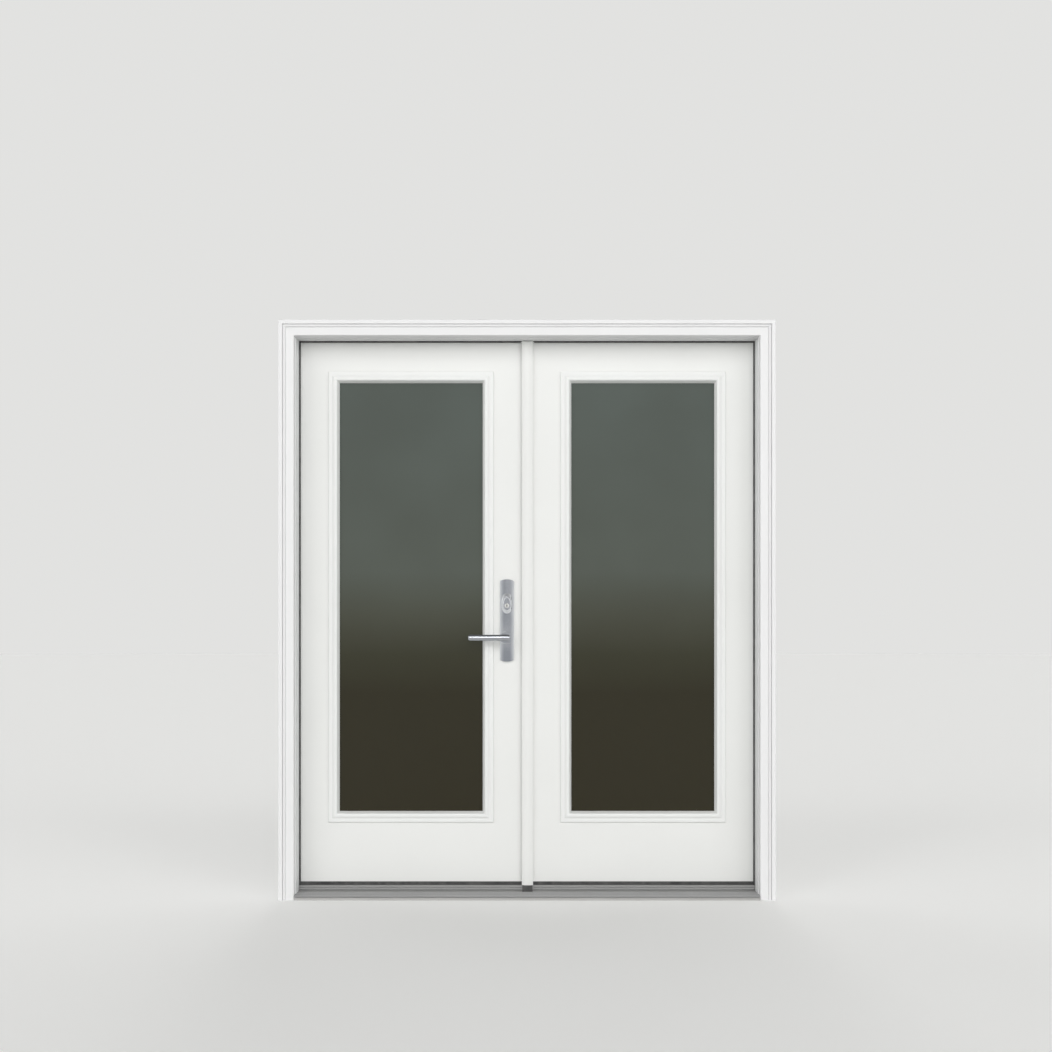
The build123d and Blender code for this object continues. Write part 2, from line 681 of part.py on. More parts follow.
def hinge_leaf(height, frame_side):
    """One leaf of a butt hinge: the plate with every other knuckle of the barrel."""
    leaf = hinge_plate(height, frame_side)
    low, high = around(height, HINGE_HEIGHT)
    pitch = (HINGE_HEIGHT + KNUCKLE_GAP) / HINGE_KNUCKLES
    strap_y = (HINGE_AXIS_Y - KNUCKLE_RADIUS - RUNNING_CLEARANCE, HINGE_AXIS_Y)
    first = 0 if frame_side else 1
    for index in range(first, HINGE_KNUCKLES, 2):
        start = low + index * pitch
        end = start + pitch - KNUCKLE_GAP
        leaf += rod_z(HINGE_AXIS_X, HINGE_AXIS_Y, KNUCKLE_RADIUS, start, end)
        leaf += block(hinge_plate_x(frame_side), strap_y, (start, end))
    return leaf - rod_z(HINGE_AXIS_X, HINGE_AXIS_Y, PIN_RADIUS + PIN_CLEARANCE, low, high)


def hinge_pin(side, height):
    """Loose pin with a bevelled head, turned in one piece."""
    low, high = around(height, HINGE_HEIGHT)
    top = high + PIN_HEAD_HEIGHT
    profile = outline(
        (0, top),
        (0, low),
        (PIN_RADIUS, low),
        (PIN_RADIUS, high),
        (PIN_HEAD_RADIUS, high),
        (PIN_HEAD_RADIUS, top),
    )
    rim = profile.vertices().sort_by_distance((PIN_HEAD_RADIUS, top, 0))[0]
    pin = revolve(Plane.XZ * chamfer(rim, PIN_HEAD_BEVEL), Axis.Z)
    return Pos(side * HINGE_AXIS_X, HINGE_AXIS_Y, 0) * pin


def hinge_pins():
    """All the hinge pins, as like pieces."""
    pins = [hinge_pin(side, height) for side in (-1, 1) for height in HINGE_HEIGHTS]
    return Compound([pin.solid() for pin in pins])


# Leaves, modelled on the right-hand side
def slab():
    """Slab with eased edges, the opening for its glass and the housings of its hinges."""
    plan = Pos(LEAF_CENTRE_X, SLAB_MIDDLE_Y) * RectangleRounded(SLAB_WIDTH, SLAB_THICKNESS, SLAB_EDGE_ROUND)
    leaf = run_z(plan, (SLAB_BOTTOM_Z, SLAB_TOP_Z))
    opening_x = around(LEAF_CENTRE_X, LITE_FRAME_WIDTH - 2 * CUTOUT_LAP)
    opening_z = around(LITE_CENTRE_Z, LITE_FRAME_HEIGHT - 2 * CUTOUT_LAP)
    leaf -= block(opening_x, (SLAB_FACE_Y, JAMB_DEPTH), opening_z)
    for height in HINGE_HEIGHTS:
        leaf -= hinge_plate(height, frame_side=False)
    return leaf


def lite_section():
    """Lite frame section: across the border from its outer edge, and up from the slab's face."""
    flat_height = LITE_EDGE_HEIGHT + LITE_EDGE_ROUND
    groove_middle = LITE_FLAT_WIDTH + LITE_GROOVE_WIDTH / 2
    ridge_start = LITE_FLAT_WIDTH + LITE_GROOVE_WIDTH
    ridge_top = (ridge_start + LITE_RIDGE_CREST, LITE_RIDGE_HEIGHT)
    ridge_end = (ridge_start + LITE_RIDGE_WIDTH, LITE_RIDGE_HEIGHT - LITE_RIDGE_DROP)
    glass = -(SLAB_THICKNESS - GLASS_UNIT_THICKNESS) / 2
    leg_outer = CUTOUT_LAP + LITE_LEG_GAP
    leg_inner = LITE_BORDER - GLASS_UNIT_LAP - LITE_LEG_GAP
    edge = Line((0, 0), (0, LITE_EDGE_HEIGHT))
    edge += RadiusArc((0, LITE_EDGE_HEIGHT), (LITE_EDGE_ROUND, flat_height), LITE_EDGE_ROUND)
    edge += Polyline(
        (LITE_EDGE_ROUND, flat_height),
        (LITE_FLAT_WIDTH, flat_height),
        (groove_middle, flat_height - LITE_GROOVE_DEPTH),
        (ridge_start, flat_height),
    )
    edge += ThreePointArc((ridge_start, flat_height), ridge_top, ridge_end)
    edge += Polyline(
        ridge_end,
        (LITE_BORDER, glass + LITE_LIP_HEIGHT),
        (LITE_BORDER, glass),
        (leg_inner, glass),
        (leg_inner, -SLAB_THICKNESS / 2),
        (leg_outer, -SLAB_THICKNESS / 2),
        (leg_outer, 0),
        (0, 0),
    )
    return make_face(edge)


def mitred_ring(section, border, width, height):
    """Frame on the outer face of a leaf: one section run round a rectangle with mitred corners."""
    left, right = around(LEAF_CENTRE_X, width)
    low, high = around(LITE_CENTRE_Z, height)
    depth = (SLAB_FACE_Y - SLAB_THICKNESS, SLAB_MIDDLE_Y)
    inner_low, inner_high = low + border, high - border
    inner_left, inner_right = left + border, right - border
    rail_ends = outline((left, low), (right, low), (inner_right, inner_low), (inner_left, inner_low))
    stile_ends = outline((left, low), (inner_left, inner_low), (inner_left, inner_high), (left, high))
    rail = run_x(Pos(SLAB_FACE_Y, low) * Rot(0, 0, 90) * section, (left, right))
    rail = rail & run_y(rail_ends, depth)
    stile = run_z(Pos(left, SLAB_FACE_Y) * mirror(section, about=Plane.XZ), (low, high))
    stile = stile & run_y(stile_ends, depth)
    upper = mirror(rail, about=Plane.XY.offset(LITE_CENTRE_Z))
    other = mirror(stile, about=Plane.YZ.offset(LEAF_CENTRE_X))
    return rail + stile + upper + other


def lite_frame():
    """Outside lite frame of a leaf."""
    return mitred_ring(lite_section(), LITE_BORDER, LITE_FRAME_WIDTH, LITE_FRAME_HEIGHT)


def glass_size():
    """Width and height of the glass unit."""
    lap = 2 * (LITE_BORDER - GLASS_UNIT_LAP)
    return LITE_FRAME_WIDTH - lap, LITE_FRAME_HEIGHT - lap


def pane():
    """Outside pane of the glass unit."""
    width, height = glass_size()
    depth = (GLASS_FACE_Y, GLASS_FACE_Y + PANE_THICKNESS)
    return block(around(LEAF_CENTRE_X, width), depth, around(LITE_CENTRE_Z, height))


def glass_spacer():
    """Bar between the panes, near their edges."""
    width, height = [size - 2 * SPACER_INSET for size in glass_size()]
    inner_face = GLASS_FACE_Y + PANE_THICKNESS
    depth = (inner_face, inner_face + GLASS_UNIT_THICKNESS - 2 * PANE_THICKNESS)
    solid = block(around(LEAF_CENTRE_X, width), depth, around(LITE_CENTRE_Z, height))
    hole_x = around(LEAF_CENTRE_X, width - 2 * SPACER_WIDTH)
    hole_z = around(LITE_CENTRE_Z, height - 2 * SPACER_WIDTH)
    return solid - block(hole_x, depth, hole_z)


def door_sweep():
    """Finned seal under a slab."""
    front, back = around(SLAB_MIDDLE_Y, SWEEP_WIDTH)
    base_bottom = SLAB_BOTTOM_Z - SWEEP_BASE
    comb = outline((front, base_bottom), (back, base_bottom), (back, SLAB_BOTTOM_Z), (front, SLAB_BOTTOM_Z))
    pitch = (SWEEP_WIDTH - SWEEP_FIN_WIDTH) / (SWEEP_FINS - 1)
    for index in range(SWEEP_FINS):
        fin = front + index * pitch
        comb += outline(
            (fin, SWEEP_BOTTOM_Z),
            (fin + SWEEP_FIN_WIDTH, SWEEP_BOTTOM_Z),
            (fin + SWEEP_FIN_WIDTH, base_bottom),
            (fin, base_bottom),
        )
    return run_x(comb, (MEETING_EDGE_X + SWEEP_END_INSET, HINGE_EDGE_X - SWEEP_END_INSET))


# Lock in the edge of the active leaf, on the left-hand side
def bolt_block(height, tall, wide, length, grow=0.0, out=0.0, back=0.0):
    """Straight bolt at rest, or the room round it when grown and lengthened."""
    x_range = (BOLT_NOSE_X - length - back, BOLT_NOSE_X + out)
    return block(x_range, around(SLAB_MIDDLE_Y, wide + 2 * grow), around(height, tall + 2 * grow))


def bolt_rooms(grow, out):
    """Room for every bolt that leaves the faceplate, from its nose to a place beyond it."""
    latch = bolt_block(LEVER_HEIGHT, LATCH_HEIGHT, LATCH_WIDTH, FACEPLATE_THICKNESS, grow, LATCH_OUT + out)
    rooms = [latch]
    rooms.append(
        bolt_block(CYLINDER_Z, DEADBOLT_HEIGHT, DEADBOLT_WIDTH, FACEPLATE_THICKNESS, grow, DEADBOLT_OUT + out)
    )
    for height in LOCKING_BOLT_HEIGHTS:
        reach = LOCKING_BOLT_OUT + out
        rooms.append(
            bolt_block(height, LOCKING_BOLT_HEIGHT, LOCKING_BOLT_WIDTH, FACEPLATE_THICKNESS, grow, reach)
        )
    return rooms


def latch_bolt():
    """Latch with its nose bevelled on the outer side."""
    low, high = around(SLAB_MIDDLE_Y, LATCH_WIDTH)
    tail = BOLT_NOSE_X - LATCH_LENGTH
    plan = outline(
        (tail, low),
        (BOLT_NOSE_X - LATCH_BEVEL, low),
        (BOLT_NOSE_X, high - LATCH_WIDTH / 4),
        (BOLT_NOSE_X, high),
        (tail, high),
    )
    return run_z(plan, around(LEVER_HEIGHT, LATCH_HEIGHT))


def deadbolt():
    """Square bolt beside the cylinder."""
    bolt = bolt_block(CYLINDER_Z, DEADBOLT_HEIGHT, DEADBOLT_WIDTH, DEADBOLT_LENGTH)
    return chamfer(bolt.faces().sort_by(Axis.X)[-1].edges(), LOCKING_BOLT_ROUND / 2)


def locking_bolts():
    """The like upper and lower bolts, with rounded noses."""
    bolts = []
    for height in LOCKING_BOLT_HEIGHTS:
        bolt = bolt_block(height, LOCKING_BOLT_HEIGHT, LOCKING_BOLT_WIDTH, LOCKING_BOLT_LENGTH)
        nose = bolt.faces().sort_by(Axis.X)[-1].edges()
        bolts.append(fillet(nose, LOCKING_BOLT_ROUND).solid())
    return Compound(bolts)


def faceplate_blank():
    """Full-length plate let into the edge of the slab, with round ends."""
    length = FACEPLATE_TOP - FACEPLATE_BOTTOM
    middle = (FACEPLATE_TOP + FACEPLATE_BOTTOM) / 2
    face = Pos(SLAB_MIDDLE_Y, middle) * SlotOverall(length, FACEPLATE_WIDTH, rotation=90)
    return run_x(face, (FACEPLATE_BACK_X, -MEETING_EDGE_X))


def lock_faceplate():
    """Faceplate, cut for the four bolts."""
    plate = faceplate_blank()
    for room in bolt_rooms(RUNNING_CLEARANCE, 0):
        plate -= room
    return plate


def case_blank():
    """Outside shape of the lock case."""
    x_range = (FACEPLATE_BACK_X - CASE_DEPTH, FACEPLATE_BACK_X)
    return block(x_range, around(SLAB_MIDDLE_Y, CASE_THICKNESS), (CASE_BOTTOM_Z, CASE_TOP_Z))


def lock_case():
    """Case with the ways of its two bolts and the bores of the spindle and the tailpiece."""
    depth = around(SLAB_MIDDLE_Y, CASE_THICKNESS)
    gap = RUNNING_CLEARANCE
    case = case_blank()
    case -= bolt_block(LEVER_HEIGHT, LATCH_HEIGHT, LATCH_WIDTH, LATCH_LENGTH, gap, 0, LATCH_IN + gap)
    case -= bolt_block(CYLINDER_Z, DEADBOLT_HEIGHT, DEADBOLT_WIDTH, DEADBOLT_LENGTH, gap, 0, gap)
    spindle_bore = SPINDLE_SIZE / 2 ** 0.5 + CASE_BORE_MARGIN
    case -= rod_y(LOCK_X, LEVER_HEIGHT, spindle_bore, *depth)
    case -= rod_y(LOCK_X, CYLINDER_Z, TAILPIECE_WIDTH / 2 + CASE_BORE_MARGIN, *depth)
    return case


def bolt_box_blank(height):
    """Outside shape of the box round an upper or lower bolt."""
    x_range = (FACEPLATE_BACK_X - BOLT_BOX_DEPTH, FACEPLATE_BACK_X)
    return block(x_range, around(SLAB_MIDDLE_Y, CASE_THICKNESS), around(height, BOLT_BOX_HEIGHT))


def bolt_boxes():
    """The like boxes that carry the upper and lower bolts."""
    gap = RUNNING_CLEARANCE
    back = LOCKING_BOLT_IN + gap
    boxes = []
    for height in LOCKING_BOLT_HEIGHTS:
        room = bolt_block(height, LOCKING_BOLT_HEIGHT, LOCKING_BOLT_WIDTH, LOCKING_BOLT_LENGTH, gap, 0, back)
        boxes.append((bolt_box_blank(height) - room).solid())
    return Compound(boxes)


def active_slab():
    """Left-hand slab, housed and bored for the lock."""
    leaf = to_left(slab()) - faceplate_blank() - case_blank()
    for height in LOCKING_BOLT_HEIGHTS:
        leaf -= bolt_box_blank(height)
    through = (SLAB_FACE_Y, JAMB_DEPTH)
    leaf -= rod_y(LOCK_X, LEVER_HEIGHT, LEVER_NECK_RADIUS + CASE_BORE_MARGIN, *through)
    leaf -= rod_y(LOCK_X, CYLINDER_Z, CYLINDER_RADIUS + CASE_BORE_MARGIN, *through)
    return leaf


# Handle trim
def arched_plate(low, high, half, front_y):
    """Upright strip on the lock's line, with arched ends and a crowned face."""
    left, right = LOCK_X - half, LOCK_X + half
    side_low, side_high = low + ESCUTCHEON_ARCH, high - ESCUTCHEON_ARCH
    rim = Line((left, side_low), (left, side_high))
    rim += ThreePointArc((left, side_high), (LOCK_X, high), (right, side_high))
    rim += Line((right, side_high), (right, side_low))
    rim += ThreePointArc((right, side_low), (LOCK_X, low), (left, side_low))
    face = make_face(rim)
    plate = run_y(fillet(face.vertices(), ESCUTCHEON_CORNER), (LEVER_AXIS_Y, SLAB_FACE_Y))
    rise = ESCUTCHEON_CROWN - ESCUTCHEON_EDGE
    crown_radius = ((ESCUTCHEON_WIDTH / 2) ** 2 + rise ** 2) / (2 * rise)
    return plate & rod_z(LOCK_X, front_y + crown_radius, crown_radius, low - half, high + half)


def escutcheon():
    """Long plate before it is bored."""
    low = LEVER_HEIGHT - ESCUTCHEON_DROP
    return arched_plate(low, low + ESCUTCHEON_HEIGHT, ESCUTCHEON_WIDTH / 2, ESCUTCHEON_FRONT_Y)


def hub_pad():
    """Raised pad across the plate, round the lever's neck."""
    low, high = LEVER_HEIGHT - HUB_PAD_HALF_HEIGHT, LEVER_HEIGHT + HUB_PAD_HALF_HEIGHT
    front_y = ESCUTCHEON_FRONT_Y - HUB_PAD_RISE
    pad = arched_plate(low, high, ESCUTCHEON_WIDTH / 2 - HUB_PAD_INSET, front_y)
    return chamfer(pad.faces().sort_by(Axis.Y)[0].edges(), HUB_PAD_CHAMFER)


def cylinder_boss():
    """Oval boss round the key cylinder: long slopes up to a rounded rim, and a dished face."""
    middle_z = CYLINDER_Z + BOSS_OFFSET
    foot_y = ESCUTCHEON_FRONT_Y + BOSS_SINK
    foot = Plane(origin=(LOCK_X, foot_y, middle_z), z_dir=(0, -1, 0), x_dir=(1, 0, 0))
    top = foot.offset(foot_y - BOSS_FRONT_Y)
    rim_half_width, rim_half_height = BOSS_RIM_WIDTH / 2, BOSS_RIM_HEIGHT / 2
    outer = Ellipse(BOSS_WIDTH / 2, BOSS_HEIGHT / 2)
    boss = loft([foot * outer, top * Ellipse(rim_half_width, rim_half_height)])
    boss = fillet(boss.edges().sort_by(Axis.Y)[0], BOSS_ROUND)
    mouth = Ellipse(rim_half_width - BOSS_RIM, rim_half_height - BOSS_RIM)
    slope = BOSS_RIM + 2 * BOSS_DISH
    floor = Ellipse(rim_half_width - slope, rim_half_height - slope)
    return boss - loft([top.offset(-BOSS_DISH) * floor, top * mouth])


def outside_escutcheon():
    """Outside plate with the hub pad, the boss and their bores."""
    plate = escutcheon() + hub_pad() + cylinder_boss()
    neck = LEVER_NECK_RADIUS + PIN_CLEARANCE
    plate -= rod_y(LOCK_X, LEVER_HEIGHT, neck, BOSS_FRONT_Y, SLAB_FACE_Y)
    return plate - rod_y(LOCK_X, CYLINDER_Z, CYLINDER_RADIUS + FIT_CLEARANCE, BOSS_FRONT_Y, SLAB_FACE_Y)


def inside_escutcheon():
    """Room-side plate with the hub pad and the bearing of the thumbturn."""
    plate = escutcheon() + hub_pad()
    neck = LEVER_NECK_RADIUS + PIN_CLEARANCE
    plate -= rod_y(LOCK_X, LEVER_HEIGHT, neck, BOSS_FRONT_Y, SLAB_FACE_Y)
    plate -= rod_y(LOCK_X, CYLINDER_Z, TURN_NECK_RADIUS + PIN_CLEARANCE, BOSS_FRONT_Y, SLAB_FACE_Y)
    return to_inside(plate)


def lever_section():
    """Oval section of the lever's bar, from four arcs, with its long axis across."""
    half_height, half_thickness = LEVER_BAR_HEIGHT / 2, LEVER_BAR_THICKNESS / 2
    across = (half_height - LEVER_EDGE_ROUND) ** 2
    through = half_thickness ** 2 - LEVER_EDGE_ROUND ** 2
    face_radius = (across + through) / (2 * (half_thickness - LEVER_EDGE_ROUND))
    shift = face_radius - half_thickness
    lens = Pos(0, -shift) * Circle(face_radius) & Pos(0, shift) * Circle(face_radius)
    return fillet(lens.vertices(), LEVER_EDGE_ROUND)


def lever_bar():
    """Oval bar along X at the origin, with ends rounded in front view and in plan."""
    length = LEVER_LENGTH + LEVER_HEEL
    half_height, half_thickness = LEVER_BAR_HEIGHT / 2, LEVER_BAR_THICKNESS / 2
    across = (-length / 2, length / 2)
    bar = run_x(Rot(0, 0, 90) * lever_section(), across)
    front = run_y(SlotOverall(length, LEVER_BAR_HEIGHT), (-half_thickness, half_thickness))
    plan = fillet(Rectangle(length, LEVER_BAR_THICKNESS).vertices(), LEVER_END_ROUND)
    return bar & front & run_z(plan, (-half_height, half_height))


def lever():
    """Outside lever: the bar on a neck with a socket for the spindle."""
    middle_x = LOCK_X + (LEVER_HEEL - LEVER_LENGTH) / 2
    bar = Pos(middle_x, LEVER_AXIS_Y, LEVER_HEIGHT) * lever_bar()
    neck = rod_y(LOCK_X, LEVER_HEIGHT, LEVER_NECK_RADIUS, LEVER_AXIS_Y, SLAB_FACE_Y)
    socket_y = (SLAB_FACE_Y - SPINDLE_GRIP, SLAB_FACE_Y)
    socket = block(around(LOCK_X, SPINDLE_SIZE), socket_y, around(LEVER_HEIGHT, SPINDLE_SIZE))
    return bar + neck - socket


def lever_spindle():
    """Square bar that joins the two levers through the lock."""
    y_range = (SLAB_FACE_Y - SPINDLE_GRIP, JAMB_DEPTH + SPINDLE_GRIP)
    return block(around(LOCK_X, SPINDLE_SIZE), y_range, around(LEVER_HEIGHT, SPINDLE_SIZE))


def lock_cylinder():
    """Fixed shell of the key cylinder, from the boss to the case."""
    shell = rod_y(LOCK_X, CYLINDER_Z, CYLINDER_RADIUS, CYLINDER_FRONT_Y, CASE_FACE_Y)
    return shell - rod_y(LOCK_X, CYLINDER_Z, PLUG_RADIUS + PIN_CLEARANCE, CYLINDER_FRONT_Y, CASE_FACE_Y)


def turn_neck_y():
    """Depths of the thumbturn's neck and of the back of its disc."""
    plate_front = JAMB_DEPTH + ESCUTCHEON_CROWN
    return JAMB_DEPTH, plate_front + RUNNING_CLEARANCE


def tailpiece():
    """Flat bar from the plug to the thumbturn."""
    start = CASE_FACE_Y - RUNNING_CLEARANCE
    x_range = around(LOCK_X, TAILPIECE_THICKNESS)
    return block(x_range, (start, turn_neck_y()[1]), around(CYLINDER_Z, TAILPIECE_WIDTH))


def cylinder_plug():
    """Key plug with its keyway, and the tailpiece behind it."""
    end = CASE_FACE_Y - RUNNING_CLEARANCE
    plug = rod_y(LOCK_X, CYLINDER_Z, PLUG_RADIUS, CYLINDER_FRONT_Y, end)
    keyway_y = (CYLINDER_FRONT_Y, CYLINDER_FRONT_Y + KEYWAY_DEPTH)
    plug -= block(around(LOCK_X, KEYWAY_WIDTH), keyway_y, around(CYLINDER_Z, KEYWAY_HEIGHT))
    return plug + tailpiece()


def thumbturn():
    """Room-side turn: a neck in the plate, a disc and an oval wing."""
    neck_start, disc_start = turn_neck_y()
    disc_end = disc_start + TURN_DISC_THICKNESS
    turn = rod_y(LOCK_X, CYLINDER_Z, TURN_NECK_RADIUS, neck_start, disc_start)
    disc = rod_y(LOCK_X, CYLINDER_Z, TURN_DISC_RADIUS, disc_start, disc_end)
    turn += chamfer(disc.edges().sort_by(Axis.Y)[-1], TURN_DISC_THICKNESS / 3)
    wing_face = Pos(LOCK_X, CYLINDER_Z) * SlotOverall(TURN_WING_LENGTH, TURN_WING_THICKNESS, rotation=90)
    wing = run_y(wing_face, (disc_start, disc_end + TURN_WING_RISE))
    turn += chamfer(wing.faces().sort_by(Axis.Y)[-1].edges(), TURN_WING_THICKNESS / 4)
    return turn - tailpiece()


# Meeting edge on the inactive leaf
def astragal_plan():
    """Astragal section in plan: a crowned flange outside the leaves and a web between them."""
    low, high = around(WEB_MIDDLE_X, ASTRAGAL_WIDTH)
    shoulder = ASTRAGAL_FRONT_Y + ASTRAGAL_CROWN
    edge = ThreePointArc((low, shoulder), (WEB_MIDDLE_X, ASTRAGAL_FRONT_Y), (high, shoulder))
    edge += Polyline(
        (high, shoulder),
        (high, SLAB_FACE_Y),
        (MEETING_EDGE_X, SLAB_FACE_Y),
        (MEETING_EDGE_X, JAMB_DEPTH),
        (WEB_FACE_X, JAMB_DEPTH),
        (WEB_FACE_X, ASTRAGAL_BACK_Y),
        (low, ASTRAGAL_BACK_Y),
        (low, shoulder),
    )
    face = make_face(edge)
    corners = [face.vertices().sort_by_distance((x, shoulder, 0))[0] for x in (low, high)]
    return fillet(corners, ASTRAGAL_EDGE_ROUND)


def flush_bolt(tip, end):
    """Flush bolt from its tip to its far end, with the thumb tab at the far end."""
    rod = rod_z(FLUSH_BOLT_X, SLAB_MIDDLE_Y, FLUSH_BOLT_RADIUS, min(tip, end), max(tip, end))
    return rod + flush_tab(tip, end, 0.0, WEB_FACE_X + FLUSH_TAB_RECESS)


def flush_tab(tip, end, grow, start_x):
    """Thumb tab of a flush bolt, or the slot that it slides in when grown."""
    inward = 1 if tip > end else -1
    near = end + inward * (FLUSH_TAB_LENGTH + (FLUSH_BOLT_THROW if grow else 0) + grow)
    far = end - inward * grow
    y_range = around(SLAB_MIDDLE_Y, FLUSH_TAB_WIDTH + 2 * grow)
    return block((start_x, FLUSH_BOLT_X), y_range, (min(near, far), max(near, far)))


def flush_bolt_ends():
    """Tip and far end of the top and the bottom flush bolt."""
    top_tip = SLAB_TOP_Z - FLUSH_TIP_SINK
    bottom_tip = SWEEP_BOTTOM_Z + FLUSH_TIP_RISE
    return [(top_tip, top_tip - FLUSH_BOLT_LENGTH), (bottom_tip, bottom_tip + FLUSH_BOLT_LENGTH)]


def flush_bolt_rooms():
    """Bores and slots of the two flush bolts."""
    rooms = []
    mouths = (SLAB_TOP_Z, SWEEP_BOTTOM_Z)
    for (tip, end), mouth in zip(flush_bolt_ends(), mouths):
        inward = 1 if tip > end else -1
        stop = end - inward * RUNNING_CLEARANCE
        radius = FLUSH_BOLT_RADIUS + PIN_CLEARANCE
        rooms.append(rod_z(FLUSH_BOLT_X, SLAB_MIDDLE_Y, radius, min(mouth, stop), max(mouth, stop)))
        rooms.append(flush_tab(tip, end, RUNNING_CLEARANCE, WEB_FACE_X))
    return rooms


def lock_strike_blanks():
    """Outside shapes of the strikes: a long one at the lock, a short one at each locking bolt."""
    x_range = (WEB_FACE_X, WEB_FACE_X + STRIKE_PLATE)
    y_range = around(SLAB_MIDDLE_Y, LOCK_STRIKE_WIDTH)
    spans = [(LEVER_HEIGHT - LOCK_STRIKE_MARGIN, CYLINDER_Z + LOCK_STRIKE_MARGIN)]
    spans += [around(height, 2 * LOCK_STRIKE_MARGIN) for height in LOCKING_BOLT_HEIGHTS]
    return [block(x_range, y_range, span) for span in spans]


def lock_strikes():
    """Strike plates, cut for the bolts that they take."""
    plates = []
    for blank in lock_strike_blanks():
        for room in bolt_rooms(STRIKE_MARGIN, STRIKE_DEPTH_SPARE):
            blank -= room
        plates.append(blank.solid())
    return Compound(plates)


def astragal():
    """Astragal with its web run up to the slab's top, housed for strikes and cut for bolts."""
    piece = run_z(astragal_plan(), (ASTRAGAL_BOTTOM_Z, ASTRAGAL_TOP_Z))
    slope = outline(
        (ASTRAGAL_FRONT_Y, ASTRAGAL_TOP_Z),
        (ASTRAGAL_FRONT_Y, ASTRAGAL_TOP_Z - ASTRAGAL_END_SLOPE),
        (ASTRAGAL_FRONT_Y + ASTRAGAL_END_SLOPE, ASTRAGAL_TOP_Z),
    )
    piece -= run_x(slope, around(WEB_MIDDLE_X, ASTRAGAL_WIDTH))
    piece += block((WEB_FACE_X, MEETING_EDGE_X), (SLAB_FACE_Y, JAMB_DEPTH), (ASTRAGAL_TOP_Z, SLAB_TOP_Z))
    cuts = lock_strike_blanks() + bolt_rooms(STRIKE_MARGIN, STRIKE_DEPTH_SPARE) + flush_bolt_rooms()
    for cut in cuts:
        piece -= cut
    return piece


def astragal_weatherstrip():
    """Bulb between the flange and the face of the active leaf."""
    low = WEB_MIDDLE_X - ASTRAGAL_WIDTH / 2 + ASTRAGAL_SEAL_INSET
    radius = (SEAL_FACE_Y - ASTRAGAL_BACK_Y) / 2
    bulb = ThreePointArc(
        (low + radius, ASTRAGAL_BACK_Y), (low, ASTRAGAL_BACK_Y + radius), (low + radius, SEAL_FACE_Y)
    )
    back = Polyline(
        (low + radius, SEAL_FACE_Y),
        (WEB_FACE_X, SEAL_FACE_Y),
        (WEB_FACE_X, ASTRAGAL_BACK_Y),
        (low + radius, ASTRAGAL_BACK_Y),
    )
    return run_z(make_face(bulb + back), (ASTRAGAL_BOTTOM_Z, ASTRAGAL_TOP_Z))


def inactive_slab():
    """Right-hand slab, cut for the bolts of the active leaf and for its own flush bolts."""
    leaf = slab()
    for cut in bolt_rooms(STRIKE_MARGIN, STRIKE_DEPTH_SPARE) + flush_bolt_rooms():
        leaf -= cut
    return leaf


def inactive_sweep():
    """Sweep under the inactive leaf, with a hole for the bottom bolt."""
    hole = FLUSH_BOLT_RADIUS + STRIKE_MARGIN
    return door_sweep() - rod_z(FLUSH_BOLT_X, SLAB_MIDDLE_Y, hole, SWEEP_BOTTOM_Z, SLAB_BOTTOM_Z)


# Whole unit
def frame_pieces():
    """Everything that stays in the wall."""
    jamb, moulding, seal = side_jamb(), side_brickmould(), side_seal()
    return {
        "left_jamb": to_left(jamb),
        "right_jamb": jamb,
        "head_jamb": head_jamb(),
        "left_brickmould": to_left(moulding),
        "right_brickmould": moulding,
        "head_brickmould": head_brickmould(),
        "left_weatherstrip": to_left(seal),
        "right_weatherstrip": seal,
        "head_weatherstrip": head_seal(),
        "sill_deck": sill_deck(),
        "sill_substrate": sill_substrate(),
        "sill_cap": sill_cap(),
        "astragal_sill_pad": astragal_sill_pad(),
        "flush_bolt_strikes": flush_bolt_strikes(),
    }


def hinge_pieces():
    """Both leaves of each hinge on both sides, and the pins."""
    pieces = {"hinge_pins": hinge_pins()}
    for name, height in zip(HINGE_NAMES, HINGE_HEIGHTS):
        for part, frame_side in (("frame", True), ("door", False)):
            leaf = hinge_leaf(height, frame_side)
            pieces[f"right_{part}_hinge_leaf_{name}"] = leaf
            pieces[f"left_{part}_hinge_leaf_{name}"] = to_left(leaf)
    return pieces


def glazing_pieces():
    """Lite frames and glass of both leaves."""
    outside = {"lite_frame": lite_frame(), "pane": pane()}
    spacer = glass_spacer()
    pieces = {"inactive_glass_spacer": spacer, "active_glass_spacer": to_left(spacer)}
    for name, shape in outside.items():
        pieces[f"inactive_{name}_outside"] = shape
        pieces[f"inactive_{name}_inside"] = to_inside(shape)
        pieces[f"active_{name}_outside"] = to_left(shape)
        pieces[f"active_{name}_inside"] = to_left(to_inside(shape))
    return pieces


def lock_pieces():
    """Lock, handles and bolts of the active leaf."""
    outside_lever = lever()
    return {
        "active_slab": active_slab(),
        "active_sweep": to_left(door_sweep()),
        "lock_case": lock_case(),
        "lock_faceplate": lock_faceplate(),
        "bolt_boxes": bolt_boxes(),
        "latch_bolt": latch_bolt(),
        "deadbolt": deadbolt(),
        "locking_bolts": locking_bolts(),
        "outside_escutcheon": outside_escutcheon(),
        "inside_escutcheon": inside_escutcheon(),
        "outside_lever": outside_lever,
        "inside_lever": to_inside(outside_lever),
        "lever_spindle": lever_spindle(),
        "lock_cylinder": lock_cylinder(),
        "cylinder_plug": cylinder_plug(),
        "thumbturn": thumbturn(),
    }


